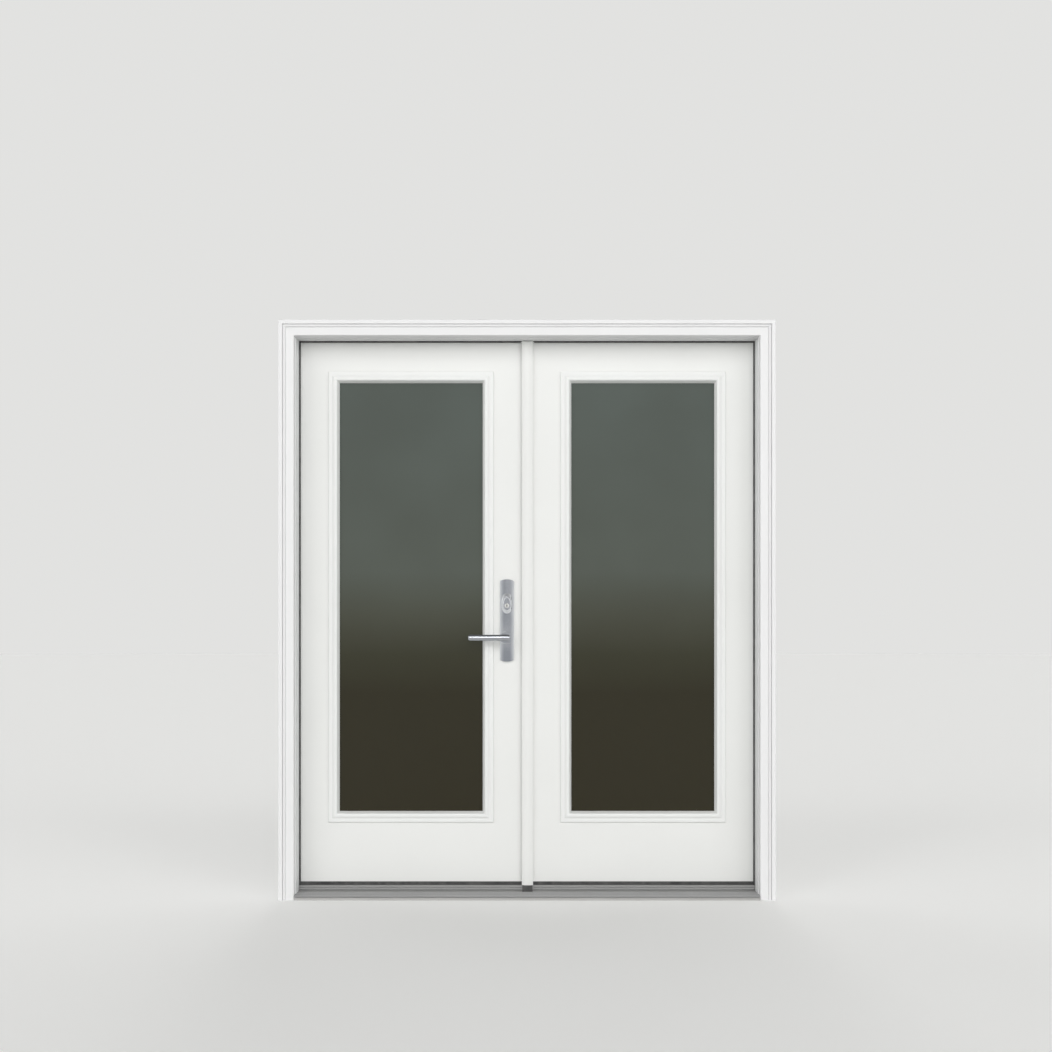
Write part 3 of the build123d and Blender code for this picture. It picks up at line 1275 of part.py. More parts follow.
def meeting_pieces():
    """Inactive slab with its astragal, strikes and flush bolts."""
    top, bottom = flush_bolt_ends()
    return {
        "inactive_slab": inactive_slab(),
        "inactive_sweep": inactive_sweep(),
        "astragal": astragal(),
        "astragal_weatherstrip": astragal_weatherstrip(),
        "lock_strikes": lock_strikes(),
        "top_flush_bolt": flush_bolt(*top),
        "bottom_flush_bolt": flush_bolt(*bottom),
    }


os.makedirs("parts", exist_ok=True)
for group in (frame_pieces(), hinge_pieces(), glazing_pieces(), lock_pieces(), meeting_pieces()):
    for node, shape in group.items():
        export_step(shape, f"parts/{node}.step")
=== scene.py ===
import logging
import math
from dataclasses import dataclass, replace
from enum import Enum
from typing import Callable

import bmesh
import bpy
from mathutils import Matrix, Vector


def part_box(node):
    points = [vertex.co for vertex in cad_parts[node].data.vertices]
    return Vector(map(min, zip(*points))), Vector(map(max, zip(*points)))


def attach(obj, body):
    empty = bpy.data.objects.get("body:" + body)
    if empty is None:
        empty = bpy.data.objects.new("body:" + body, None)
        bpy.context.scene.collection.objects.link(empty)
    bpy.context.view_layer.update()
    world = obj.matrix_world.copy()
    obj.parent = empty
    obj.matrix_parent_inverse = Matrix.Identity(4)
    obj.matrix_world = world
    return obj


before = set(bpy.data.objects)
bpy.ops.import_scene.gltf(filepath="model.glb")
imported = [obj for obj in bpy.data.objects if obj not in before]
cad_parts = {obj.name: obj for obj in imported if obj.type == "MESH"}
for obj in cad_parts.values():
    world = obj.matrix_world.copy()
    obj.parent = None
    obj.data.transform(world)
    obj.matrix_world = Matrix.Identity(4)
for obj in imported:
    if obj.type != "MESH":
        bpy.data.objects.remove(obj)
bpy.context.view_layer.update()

# French doors with their frame, seen from outside: X to the right, Y into the house, Z up.
# Lengths are in metres and angles in degrees.
log = logging.getLogger("french_doors")

Colour = tuple[float, float, float]
Socket = bpy.types.NodeSocket
Value = Socket | tuple[float, ...] | float

# A face looks straight along an axis where its normal's part along it is above SQUARE_ON.
SQUARE_ON = 0.99
WELD_DISTANCE = 1e-7


# Names
class Body(Enum):
    """Bodies that the new pieces ride on."""

    FRAME = "frame"
    ACTIVE = "active_leaf"
    INACTIVE = "inactive_leaf"
    TURN = "turn"


class Lay(Enum):
    """Run of a grain, as how finely its pattern repeats along X, Y and Z."""

    ALONG_X = (0.03, 1.0, 1.0)
    ALONG_Z = (1.0, 1.0, 0.03)
    EVEN = (1.0, 1.0, 1.0)


class Finish(Enum):
    """Finishes of the unit, each named by the record's slot, and after a dot by what sets it apart."""

    SLAB = "slab_white"
    FRAME = "frame_white"
    MOULDING = "moulding_white"
    LITE = "lite_white"
    SEAL = "seal_dark"
    DECK = "sill_metal"
    CORE = "sill_core"
    CAP = "cap_grey"
    NICKEL = "satin_nickel"
    BRIGHT = "satin_nickel.bright"
    PLATE = "satin_nickel.plate"
    STEEL = "lock_steel"
    GLASS = "tinted_glass"
    SPACER = "spacer_metal"

    @property
    def slot(self) -> str:
        """The record's slot that the finish belongs to."""
        return self.value.split(".")[0]


# Shader nodes
class Wiring:
    """Short ways to add and join the nodes of one shader tree."""

    def __init__(self, tree: bpy.types.NodeTree) -> None:
        """Keeps the tree that gets the nodes."""
        self.tree = tree

    def give(self, target: Socket, value: Value) -> None:
        """Feeds an input.

        Args:
            target: The input.
            value: A socket to link to it, or a plain value to set there.
        """
        if isinstance(value, Socket):
            self.tree.links.new(value, target)
        else:
            target.default_value = value

    def node(self, kind: str, inputs: dict[str | int, Value] | None = None,
             **settings: object) -> bpy.types.Node:
        """Adds a node.

        Args:
            kind: Type of the node.
            inputs: What its inputs get, by name or number.
            settings: Attributes of the node, by name.

        Returns:
            The new node.
        """
        made = self.tree.nodes.new(kind)
        for label, setting in settings.items():
            setattr(made, label, setting)
        for label, value in (inputs or {}).items():
            self.give(made.inputs[label], value)
        return made

    def combine(self, operation: str, first: Value, second: Value = 0.0) -> Socket:
        """Works one value out from two.

        Args:
            operation: Kind of sum, as the Math node names it.
            first: First value.
            second: Second value, where the operation has one.

        Returns:
            Socket with the result.
        """
        return self.node("ShaderNodeMath", {0: first, 1: second}, operation=operation).outputs["Value"]

    def axis(self, vector: Socket, label: str) -> Socket:
        """One part of a vector, by the name X, Y or Z."""
        return self.node("ShaderNodeSeparateXYZ", {"Vector": vector}).outputs[label]

    def remap(self, source: Socket, low: Value = 0.0, high: Value = 1.0,
              to_low: Value = 0.0, to_high: Value = 1.0) -> Socket:
        """Carries a value from one range onto another, and holds it within the ends.

        Args:
            source: Socket with the value.
            low: Value that becomes to_low.
            high: Value that becomes to_high.
            to_low: Start of the new range.
            to_high: End of the new range.

        Returns:
            Socket with the result.
        """
        inputs = {"Value": source, "From Min": low, "From Max": high, "To Min": to_low, "To Max": to_high}
        return self.node("ShaderNodeMapRange", inputs).outputs["Result"]

    def spread(self, source: Socket, low: float, high: float) -> Socket:
        """Carries a value from 0 to 1 onto the range from low to high."""
        return self.remap(source, to_low=low, to_high=high)


class EffectGroup(Wiring):
    """Shader node group with named values in, one value out, and the object's own coordinates."""

    def __init__(self, name: str, inputs: dict[str, float], output: str) -> None:
        """Makes the empty group.

        Args:
            name: Name of the node group.
            inputs: Each input's name with its usual value.
            output: Name of the value that the group puts out.
        """
        super().__init__(bpy.data.node_groups.new(name, "ShaderNodeTree"))
        for label, value in inputs.items():
            socket = self.tree.interface.new_socket(label, in_out="INPUT", socket_type="NodeSocketFloat")
            socket.default_value = value
        self.tree.interface.new_socket(output, in_out="OUTPUT", socket_type="NodeSocketFloat")
        self.enter = self.node("NodeGroupInput")
        self.leave = self.node("NodeGroupOutput")
        self.output = output
        self.place = self.node("ShaderNodeTexCoord").outputs["Object"]

    def given(self, label: str) -> Socket:
        """The group's input of that name."""
        return self.enter.outputs[label]

    def facing(self, label: str) -> Socket:
        """One part of the surface's normal, by the name X, Y or Z."""
        return self.axis(self.node("ShaderNodeNewGeometry").outputs["Normal"], label)

    def stretched(self, factors: Value) -> Socket:
        """The coordinates, each times its own factor."""
        product = self.node("ShaderNodeVectorMath", {0: self.place, 1: factors}, operation="MULTIPLY")
        return product.outputs["Vector"]

    def noise(self, place: Socket, detail: float, roughness: float = 0.5) -> Socket:
        """Adds a noise at the group's Scale.

        Args:
            place: Its coordinates.
            detail: Number of finer layers.
            roughness: How much the finer layers weigh.

        Returns:
            Socket with the noise, from 0 to 1.
        """
        inputs = {"Vector": place, "Scale": self.given("Scale"), "Detail": detail, "Roughness": roughness}
        return self.node("ShaderNodeTexNoise", inputs).outputs["Fac"]

    def close(self, value: Socket) -> bpy.types.NodeTree:
        """Puts a value out.

        Args:
            value: Socket with the value.

        Returns:
            The finished group.
        """
        self.give(self.leave.inputs[self.output], value)
        return self.tree


class Effects:
    """The effects that the finishes share, each built once."""

    def __init__(self) -> None:
        """Builds every group."""
        self.cloud = self.soft_cloud()
        self.grain = self.fine_grain()
        self.grime = self.settled_grime()
        self.scuff = self.light_scuffs()
        self.highlight_slope_mask = self.painted_highlight_slopes()

    def soft_cloud(self) -> bpy.types.NodeTree:
        """Broad, soft unevenness of tone.

        Returns:
            Group with the value Tone, from 0 to 1.
        """
        group = EffectGroup("soft_cloud", {"Scale": 3.0}, "Tone")
        return group.close(group.remap(group.noise(group.place, detail=2.0), low=0.32, high=0.68))

    def fine_grain(self) -> bpy.types.NodeTree:
        """Fine texture that may be drawn out along one axis.

        Returns:
            Group with the value Height, from 0 to 1.
        """
        inputs = {"Scale": 400.0, "Across X": 1.0, "Across Y": 1.0, "Across Z": 1.0}
        group = EffectGroup("fine_grain", inputs, "Height")
        factors = {axis: group.given(f"Across {axis}") for axis in "XYZ"}
        drawn = group.stretched(group.node("ShaderNodeCombineXYZ", factors).outputs["Vector"])
        return group.close(group.noise(drawn, detail=4.0, roughness=0.6))

    def settled_grime(self) -> bpy.types.NodeTree:
        """Dust that lies on ledges and splashes that fade out above the sill.

        Returns:
            Group with the value Mask, from 0, clean, to 1.
        """
        inputs = {"Ledges": 0.5, "Splash": 0.5, "Splash Height": 0.35, "Scale": 9.0, "Evenness": 0.35}
        group = EffectGroup("settled_grime", inputs, "Mask")
        ledges = group.combine("MULTIPLY", group.remap(group.facing("Z"), low=0.5), group.given("Ledges"))
        height = group.axis(group.place, "Z")
        fade = group.remap(height, high=group.given("Splash Height"), to_low=1.0, to_high=0.0)
        splash = group.combine("MULTIPLY", group.combine("POWER", fade, 2.0), group.given("Splash"))
        noise = group.noise(group.place, detail=6.0)
        patchy = group.remap(noise, low=0.3, high=0.7, to_low=group.given("Evenness"))
        return group.close(group.combine("MULTIPLY", group.combine("MAXIMUM", ledges, splash), patchy))

    def light_scuffs(self) -> bpy.types.NodeTree:
        """Sparse short scuffs, as feet and cleaning leave them.

        Returns:
            Group with the value Mask, from 0 to the Amount in a scuff.
        """
        group = EffectGroup("light_scuffs", {"Scale": 30.0, "Amount": 0.3}, "Mask")
        noise = group.noise(group.stretched((0.3, 1.0, 1.0)), detail=8.0, roughness=0.7)
        scuffs = group.remap(noise, low=0.56, high=0.7)
        return group.close(group.combine("MULTIPLY", scuffs, group.given("Amount")))

    def painted_highlight_slopes(self) -> bpy.types.NodeTree:
        """Tilted parts of a plate that faces along Y, which get a painted highlight, as if they caught the
        lamps.

        Returns:
            Group with the value Mask, 0 on the flat and 1 where the face is well tilted.
        """
        group = EffectGroup("painted_highlight_slopes", {"Flat": 0.99, "Tilted": 0.93}, "Mask")
        flatness = group.combine("ABSOLUTE", group.facing("Y"))
        return group.close(group.remap(flatness, low=group.given("Flat"), high=group.given("Tilted")))


class Surface(Wiring):
    """A material under construction."""

    def __init__(self, name: str) -> None:
        """Starts a material with its Principled shader.

        Args:
            name: Name of the material.
        """
        self.material = bpy.data.materials.new(name)
        self.material.use_nodes = True
        super().__init__(self.material.node_tree)
        self.shader = self.tree.nodes["Principled BSDF"]

    def settings(self, **values: Value) -> None:
        """Sets or links the shader's own inputs, with an underscore for each space in a name."""
        for label, value in values.items():
            self.give(self.shader.inputs[label.replace("_", " ")], value)

    def effect(self, tree: bpy.types.NodeTree, **values: float) -> Socket:
        """Places a shared effect.

        Args:
            tree: The effect's node group.
            values: Its inputs, with an underscore for each space in a name.

        Returns:
            Socket with the value that the effect puts out.
        """
        inputs = {label.replace("_", " "): value for label, value in values.items()}
        return self.node("ShaderNodeGroup", inputs, node_tree=tree).outputs[0]

    def grained(self, tree: bpy.types.NodeTree, scale: float, lay: Lay = Lay.EVEN) -> Socket:
        """Places the fine grain.

        Args:
            tree: The grain's node group.
            scale: Fineness across the lay.
            lay: How the grain runs.

        Returns:
            Socket with its height, from 0 to 1.
        """
        across_x, across_y, across_z = lay.value
        return self.effect(tree, Scale=scale, Across_X=across_x, Across_Y=across_y, Across_Z=across_z)

    def blend(self, share: Socket, first: Value, second: Value) -> Socket:
        """Mixes two colours.

        Args:
            share: Socket with the share of the second colour.
            first: A colour, or a socket that gives one.
            second: A colour, or a socket that gives one.

        Returns:
            Socket with the mixed colour.
        """
        first, second = ((*end, 1.0) if isinstance(end, tuple) else end for end in (first, second))
        return self.node("ShaderNodeMix", {0: share, 6: first, 7: second}, data_type="RGBA").outputs[2]

    def relief(self, height: Socket, depth: float, roughness: float, unevenness: float) -> None:
        """Lets a height show in the normal and in the roughness.

        Args:
            height: Socket with the height, from 0 to 1.
            depth: Depth of the bump.
            roughness: Middle roughness.
            unevenness: How far the roughness goes below it in the pits and above it on the peaks.
        """
        bump = self.node("ShaderNodeBump", {"Distance": depth, "Height": height})
        shine = self.spread(height, roughness - unevenness, roughness + unevenness)
        self.settings(Roughness=shine, Normal=bump.outputs["Normal"])


# Finishes
@dataclass(frozen=True)
class PaintFinish:
    """Satin paint or white plastic with a faint peel and a little dust on its ledges."""

    finish: Finish
    colour: Colour
    shade: Colour
    roughness: float
    unevenness: float = 0.06
    cloud_scale: float = 2.2
    peel_scale: float = 260.0
    peel_depth: float = 0.00012
    lay: Lay = Lay.EVEN
    ledges: float = 0.12
    splash: float = 0.0
    splash_height: float = 0.3
    grime_colour: Colour = (0.42, 0.39, 0.34)

    def material(self, effects: Effects) -> bpy.types.Material:
        """Builds the material.

        Args:
            effects: The shared effects.

        Returns:
            The material.
        """
        surface = Surface(self.finish.value)
        cloud = surface.effect(effects.cloud, Scale=self.cloud_scale)
        toned = surface.blend(cloud, self.colour, self.shade)
        grime = surface.effect(
            effects.grime, Ledges=self.ledges, Splash=self.splash, Splash_Height=self.splash_height
        )
        surface.settings(Base_Color=surface.blend(grime, toned, self.grime_colour))
        height = surface.grained(effects.grain, self.peel_scale, self.lay)
        surface.relief(height, self.peel_depth, self.roughness, self.unevenness)
        return surface.material


@dataclass(frozen=True)
class MetalFinish:
    """Metal with a drawn or blasted grain, and clouds, a painted highlight on tilted faces, scuffs and dust
    where asked; a pale dust colour also paints upward faces lighter.
    """

    finish: Finish
    colour: Colour
    shade: Colour
    roughness: float
    lay: Lay
    grain_scale: float = 900.0
    grain_depth: float = 0.00003
    ledges: float = 0.0
    splash: float = 0.0
    splash_height: float = 0.12
    scuffs: float = 0.15
    scuff_scale: float = 45.0
    metallic: float = 1.0
    unevenness: float = 0.08
    clouding: float = 0.0
    cloud_scale: float = 13.0
    cloud_colour: Colour = (0.30, 0.32, 0.36)
    # Share and colour of the painted highlight on tilted faces.
    slope_highlight: float = 0.0
    slope_highlight_colour: Colour = (0.84, 0.86, 0.90)
    dust_scale: float = 14.0
    dust_evenness: float = 0.35
    dust_and_top_light_colour: Colour = (0.36, 0.34, 0.31)

    def material(self, effects: Effects) -> bpy.types.Material:
        """Builds the material.

        Args:
            effects: The shared effects.

        Returns:
            The material.
        """
        surface = Surface(self.finish.value)
        height = surface.grained(effects.grain, self.grain_scale, self.lay)
        toned = surface.blend(height, self.shade, self.colour)
        scuffs = surface.effect(effects.scuff, Scale=self.scuff_scale, Amount=self.scuffs)
        scuffed = surface.blend(scuffs, toned, self.colour)
        cloud = surface.effect(effects.cloud, Scale=self.cloud_scale)
        clouded = surface.blend(surface.spread(cloud, 0.0, self.clouding), scuffed, self.cloud_colour)
        # Painted highlight: tilted faces are mixed towards a pale colour, as lamplight on them would look.
        highlight_slope_mask = surface.effect(effects.highlight_slope_mask)
        highlighted = surface.blend(surface.spread(highlight_slope_mask, 0.0, self.slope_highlight), clouded, self.slope_highlight_colour)
        # Dust on ledges and low down; in a pale colour, as on the sill deck, it is also painted light that
        # makes upward faces lighter.
        dust = surface.effect(
            effects.grime, Ledges=self.ledges, Splash=self.splash, Splash_Height=self.splash_height,
            Scale=self.dust_scale, Evenness=self.dust_evenness,
        )
        surface.settings(Metallic=self.metallic, Base_Color=surface.blend(dust, highlighted, self.dust_and_top_light_colour))
        surface.relief(height, self.grain_depth, self.roughness, self.unevenness)
        return surface.material


@dataclass(frozen=True)
class SealFinish:
    """Dark foam or rubber with a bloom of dust."""

    finish: Finish
    colour: Colour
    bloom: Colour
    roughness: float = 0.75
    unevenness: float = 0.1
    cloud_scale: float = 35.0
    bloom_share: float = 0.55
    ledges: float = 0.5
    splash: float = 0.2
    splash_height: float = 0.1
    dust_scale: float = 40.0
    pore_scale: float = 1500.0
    pore_depth: float = 0.00008

    def material(self, effects: Effects) -> bpy.types.Material:
        """Builds the material.

        Args:
            effects: The shared effects.

        Returns:
            The material.
        """
        surface = Surface(self.finish.value)
        cloud = surface.effect(effects.cloud, Scale=self.cloud_scale)
        toned = surface.blend(surface.spread(cloud, 0.0, self.bloom_share), self.colour, self.bloom)
        dust = surface.effect(
            effects.grime, Ledges=self.ledges, Splash=self.splash, Splash_Height=self.splash_height,
            Scale=self.dust_scale,
        )
        surface.settings(Base_Color=surface.blend(dust, toned, self.bloom))
        height = surface.grained(effects.grain, self.pore_scale)
        surface.relief(height, self.pore_depth, self.roughness, self.unevenness)
        return surface.material


@dataclass(frozen=True)
class GlassFinish:
    """Dark tinted glass with a painted reflection of ground and sky: darker and browner low down, greyer
    towards the top, with a hardly visible film on it.
    """

    finish: Finish
    reflection_tones: tuple[tuple[float, Colour], ...]
    low: float
    high: float
    transmission: float = 0.12
    refraction: float = 1.5
    specular: float = 0.3
    cloud_scale: float = 2.4
    clouding: float = 0.15
    film_scale: float = 7.0
    film_smooth: float = 0.015
    film_rough: float = 0.05

    def painted_reflection(self, surface: Surface) -> Socket:
        """Painted reflection of ground and sky, as colours of the glass by height.

        Args:
            surface: The material that gets them.

        Returns:
            Socket with the colour.
        """
        place = surface.node("ShaderNodeTexCoord").outputs["Object"]
        rise = surface.remap(surface.axis(place, "Z"), low=self.low, high=self.high)
        ramp = surface.node("ShaderNodeValToRGB", {"Fac": rise})
        stops = ramp.color_ramp.elements
        stops[0].color = (*self.reflection_tones[0][1], 1.0)
        stops[1].color = (*self.reflection_tones[-1][1], 1.0)
        for share, colour in self.reflection_tones[1:-1]:
            stops.new(share).color = (*colour, 1.0)
        return ramp.outputs["Color"]

    def material(self, effects: Effects) -> bpy.types.Material:
        """Builds the material.

        Args:
            effects: The shared effects.

        Returns:
            The material.
        """
        surface = Surface(self.finish.value)
        cloud = surface.effect(effects.cloud, Scale=self.cloud_scale)
        share = surface.spread(cloud, 0.0, self.clouding)
        colour = surface.blend(share, self.painted_reflection(surface), self.reflection_tones[0][1])
        film = surface.effect(effects.cloud, Scale=self.film_scale)
        surface.settings(
            Base_Color=colour, Roughness=surface.spread(film, self.film_smooth, self.film_rough),
            Transmission_Weight=self.transmission, IOR=self.refraction, Specular_IOR_Level=self.specular,
        )
        return surface.material


SATIN_NICKEL = MetalFinish(
    Finish.NICKEL, (0.47, 0.485, 0.52), (0.45, 0.465, 0.50), 0.21, Lay.ALONG_Z,
    grain_scale=2500.0, grain_depth=0.000001, scuffs=0.05, unevenness=0.02,
)

FINISHES = (
    PaintFinish(Finish.SLAB, (0.80, 0.805, 0.79), (0.785, 0.79, 0.775), roughness=0.42),
    PaintFinish(
        Finish.FRAME, (0.76, 0.77, 0.775), (0.74, 0.745, 0.745), roughness=0.34,
        peel_scale=180.0, peel_depth=0.0001, lay=Lay.ALONG_Z,
    ),
    PaintFinish(
        Finish.MOULDING, (0.81, 0.81, 0.815), (0.795, 0.795, 0.80), roughness=0.40,
        peel_scale=200.0, peel_depth=0.00008,
    ),
    PaintFinish(
        Finish.LITE, (0.80, 0.81, 0.80), (0.785, 0.79, 0.78), roughness=0.36,
        peel_scale=320.0, peel_depth=0.00008,
    ),
    PaintFinish(
        Finish.CORE, (0.47, 0.465, 0.46), (0.41, 0.405, 0.40), roughness=0.6,
        peel_scale=500.0, peel_depth=0.0002, lay=Lay.ALONG_X, splash=0.1,
    ),
    SealFinish(Finish.SEAL, (0.045, 0.045, 0.046), (0.140, 0.138, 0.135)),
    # The deck's pale dust on upward faces is partly painted light: it makes the deck's top lighter than its
    # front.
    MetalFinish(
        Finish.DECK, (0.39, 0.39, 0.395), (0.33, 0.33, 0.335), 0.48, Lay.ALONG_X,
        grain_scale=500.0, grain_depth=0.00002, ledges=0.8, metallic=0.5,
        dust_evenness=0.75, dust_and_top_light_colour=(0.55, 0.55, 0.54),
    ),
    MetalFinish(
        Finish.CAP, (0.48, 0.48, 0.48), (0.40, 0.40, 0.40), 0.45, Lay.ALONG_X,
        grain_scale=600.0, grain_depth=0.00002, ledges=0.4, scuffs=0.1, metallic=0.7, dust_evenness=0.7,
    ),
    SATIN_NICKEL,
    # The handle plates get random clouds of tone and a painted highlight on their tilted faces.
    replace(SATIN_NICKEL, finish=Finish.PLATE, clouding=0.9, slope_highlight=1.0),
    MetalFinish(
        Finish.BRIGHT, (0.88, 0.88, 0.87), (0.84, 0.84, 0.83), 0.25, Lay.EVEN,
        grain_scale=2500.0, grain_depth=0.000002, scuffs=0.05, unevenness=0.03,
    ),
    MetalFinish(
        Finish.STEEL, (0.56, 0.56, 0.56), (0.42, 0.42, 0.425), 0.38, Lay.ALONG_Z, grain_scale=700.0,
    ),
    MetalFinish(
        Finish.SPACER, (0.45, 0.45, 0.46), (0.33, 0.33, 0.34), 0.45, Lay.EVEN,
        grain_scale=2500.0, grain_depth=0.00005,
    ),
    # Painted reflection: the glass's colours by height stand in for the ground and sky seen in it.
    GlassFinish(
        Finish.GLASS,
        reflection_tones=(
            (0.0, (0.0240, 0.0200, 0.0070)),
            (0.276, (0.0240, 0.0210, 0.0080)),
            (0.366, (0.0370, 0.0372, 0.0200)),
            (0.456, (0.0660, 0.0700, 0.0505)),
            (0.56, (0.0919, 0.1050, 0.0887)),
            (1.0, (0.0950, 0.1130, 0.1020)),
        ),
        low=0.31, high=1.91,
    ),
)


class Palette:
    """Every finish of the unit as a material."""

    def __init__(self, effects: Effects) -> None:
        """Mixes the finishes.

        Args:
            effects: The shared effects.
        """
        self.made = {kind.finish: kind.material(effects) for kind in FINISHES}

    def dress(self, finish: Finish, *nodes: str) -> None:
        """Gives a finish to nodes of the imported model.

        Args:
            finish: The finish.
            nodes: Names of the nodes.
        """
        for name in nodes:
            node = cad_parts[name]
            if not node.material_slots:
                node.data.materials.append(None)
            for place in node.material_slots:
                place.material = self.made[finish]
            log.info("dressed %s in %s", name, finish.value)


# Pieces
def finished_piece(name: str, shape: bmesh.types.BMesh, body: Body, finish: Finish, palette: Palette,
                   sharp: float = 35.0) -> bpy.types.Object:
    """Turns a shape into a piece that rides on a body.

    Args:
        name: Name of the piece.
        shape: Its shape, at its place in the unit. It is freed.
        body: Body that carries it.
        finish: Its finish.
        palette: Where the finish's material comes from.
        sharp: Angle above which an edge stays sharp.

    Returns:
        The piece.
    """
    bmesh.ops.remove_doubles(shape, verts=shape.verts, dist=WELD_DISTANCE)
    bmesh.ops.recalc_face_normals(shape, faces=shape.faces)
    mesh = bpy.data.meshes.new(name)
    shape.to_mesh(mesh)
    shape.free()
    mesh.shade_smooth()
    mesh.set_sharp_from_angle(angle=math.radians(sharp))
    mesh.materials.append(palette.made[finish])
    piece = bpy.data.objects.new(name, mesh)
    bpy.context.scene.collection.objects.link(piece)
    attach(piece, body.value)
    log.info("built %s on %s with %d faces", name, body.value, len(mesh.polygons))
    return piece


def seat(place: Vector, outward: Vector, turn: float = 0.0) -> Matrix:
    """Matrix that sets a small fitting on a face.

    Args:
        place: Middle of the fitting's seat.
        outward: Direction in which it faces.
        turn: Angle by which it is turned about that direction.

    Returns:
        The matrix, for a fitting made at the origin with its face up.
    """
    facing = outward.to_track_quat("Z", "Y").to_matrix().to_4x4()
    return Matrix.Translation(place) @ facing @ Matrix.Rotation(math.radians(turn), 4, "Z")


def screw_row(spots: list[Vector], outward: Vector, first_turn: float, turn_step: float) -> list[Matrix]:
    """Seats of screws that face one way, each turned further than the one before.

    Args:
        spots: Middles of their seats.
        outward: Direction in which they face.
        first_turn: Turn of the first screw.
        turn_step: Turn from each screw to the next.

    Returns:
        One matrix for each screw.
    """
    return [seat(spot, outward, first_turn + turn_step * index) for index, spot in enumerate(spots)]


def copies(make: Callable[[bmesh.types.BMesh], None], places: list[Matrix]) -> bmesh.types.BMesh:
    """Repeats one small shape at many places.

    Args:
        make: Adds the shape to an empty bmesh, at the origin.
        places: One matrix for each copy.

    Returns:
        All the copies in one bmesh.
    """
    single = bmesh.new()
    make(single)
    mould = bpy.data.meshes.new("mould")
    single.to_mesh(mould)
    single.free()
    together = bmesh.new()
    for place in places:
        start = len(together.verts)
        together.from_mesh(mould)
        together.verts.ensure_lookup_table()
        bmesh.ops.transform(together, matrix=place, verts=together.verts[start:])
    bpy.data.meshes.remove(mould)
    return together


def flat_faces(shape: bmesh.types.BMesh) -> list[bmesh.types.BMFace]:
    """The faces that look straight up."""
    shape.normal_update()
    return [face for face in shape.faces if face.normal.z > SQUARE_ON]


def top_face(shape: bmesh.types.BMesh) -> bmesh.types.BMFace:
    """The highest face that looks straight up."""
    return max(flat_faces(shape), key=lambda face: (round(face.calc_center_median().z, 7), face.calc_area()))


@dataclass(frozen=True)
class RoundHead:
    """Short round head with a rounded edge and a rim round its top."""

    radius: float
    proud: float
    sunk: float
    sides: int
    edge_steps: int = 2

    def blank(self, shape: bmesh.types.BMesh, rounding: float, rim: float) -> bmesh.types.BMFace:
        """Adds the head to a bmesh.

        Args:
            shape: The bmesh. The head's seat comes to its origin.
            rounding: Width of the rounding round the top.
            rim: Width of the rim.

        Returns:
            The face within the rim.
        """
        bmesh.ops.create_cone(
            shape, cap_ends=True, segments=self.sides, radius1=self.radius, radius2=self.radius,
            depth=self.sunk + self.proud, matrix=Matrix.Translation((0, 0, (self.proud - self.sunk) / 2)),
        )
        bmesh.ops.bevel(
            shape, geom=list(top_face(shape).edges), offset=rounding, offset_type="OFFSET",
            segments=self.edge_steps, profile=0.5, affect="EDGES", material=-1,
        )
        bmesh.ops.inset_individual(shape, faces=[top_face(shape)], thickness=rim)
        discs = [face for face in flat_faces(shape) if len(face.verts) == self.sides]
        return min(discs, key=lambda face: face.calc_area())


@dataclass(frozen=True)
class CrossScrew(RoundHead):
    """Screw head with a cross recess, flat or slightly raised."""

    sunk: float = 0.0006
    sides: int = 24
    rounding_limit: float = 0.25
    rounding_share: float = 0.8
    rim_share: float = 0.3
    recess_depth: float = 0.0009
    recess_taper: float = 0.7
    arm: float = 0.52
    waist: float = 0.36

    def make(self, shape: bmesh.types.BMesh) -> None:
        """Adds the screw to a bmesh.

        Args:
            shape: The bmesh. The screw's seat comes to its origin.
        """
        rounding = min(self.proud, self.radius * self.rounding_limit) * self.rounding_share
        top = self.blank(shape, rounding, self.radius * self.rim_share)
        # Corners next to an axis keep the arm's reach, and the others draw in to the waist of the cross.
        quarter = self.sides // 4
        for corner in top.verts:
            angle = math.atan2(corner.co.y, corner.co.x) % (2 * math.pi)
            index = round(angle / (2 * math.pi) * self.sides) % quarter
            reach = self.arm if index in (0, 1, quarter - 1) else self.waist * self.arm
            share = reach * self.radius / math.hypot(corner.co.x, corner.co.y)
            corner.co.x *= share
            corner.co.y *= share
        sunk = bmesh.ops.extrude_discrete_faces(shape, faces=[top])["faces"][0]
        bmesh.ops.translate(shape, verts=sunk.verts, vec=(0, 0, -self.recess_depth))
        bmesh.ops.scale(shape, verts=sunk.verts, vec=(self.recess_taper, self.recess_taper, 1.0))


@dataclass(frozen=True)
class ScrewPlug(RoundHead):
    """Small moulded cap that covers a screw, dished within its rim."""

    sunk: float = 0.0004
    sides: int = 20
    rounding_share: float = 0.7
    rim_share: float = 0.25
    dish_share: float = 0.35

    def make(self, shape: bmesh.types.BMesh) -> None:
        """Adds the plug to a bmesh.

        Args:
            shape: The bmesh. The plug's seat comes to its origin.
        """
        middle = self.blank(shape, self.proud * self.rounding_share, self.radius * self.rim_share)
        bmesh.ops.translate(shape, verts=middle.verts, vec=(0, 0, -self.proud * self.dish_share))


# Sub-assemblies
@dataclass
class OuterFrame:
    """Jambs, head, outside moulding, seals and sill, which need no further pieces."""

    def dress(self, palette: Palette) -> None:
        """Gives the fixed pieces their finishes.

        Args:
            palette: The finishes.
        """
        palette.dress(Finish.FRAME, "left_jamb", "right_jamb", "head_jamb")
        palette.dress(Finish.MOULDING, "left_brickmould", "right_brickmould", "head_brickmould")
        palette.dress(Finish.SEAL, "left_weatherstrip", "right_weatherstrip", "head_weatherstrip")
        palette.dress(Finish.DECK, "sill_deck")
        palette.dress(Finish.CORE, "sill_substrate")
        palette.dress(Finish.CAP, "sill_cap")
        # The astragal's sill pad is a real dark pad, and its dark colour also stands partly for painted shade
        # under the astragal's foot.
        palette.dress(Finish.SEAL, "astragal_sill_pad")
        palette.dress(Finish.STEEL, "flush_bolt_strikes")


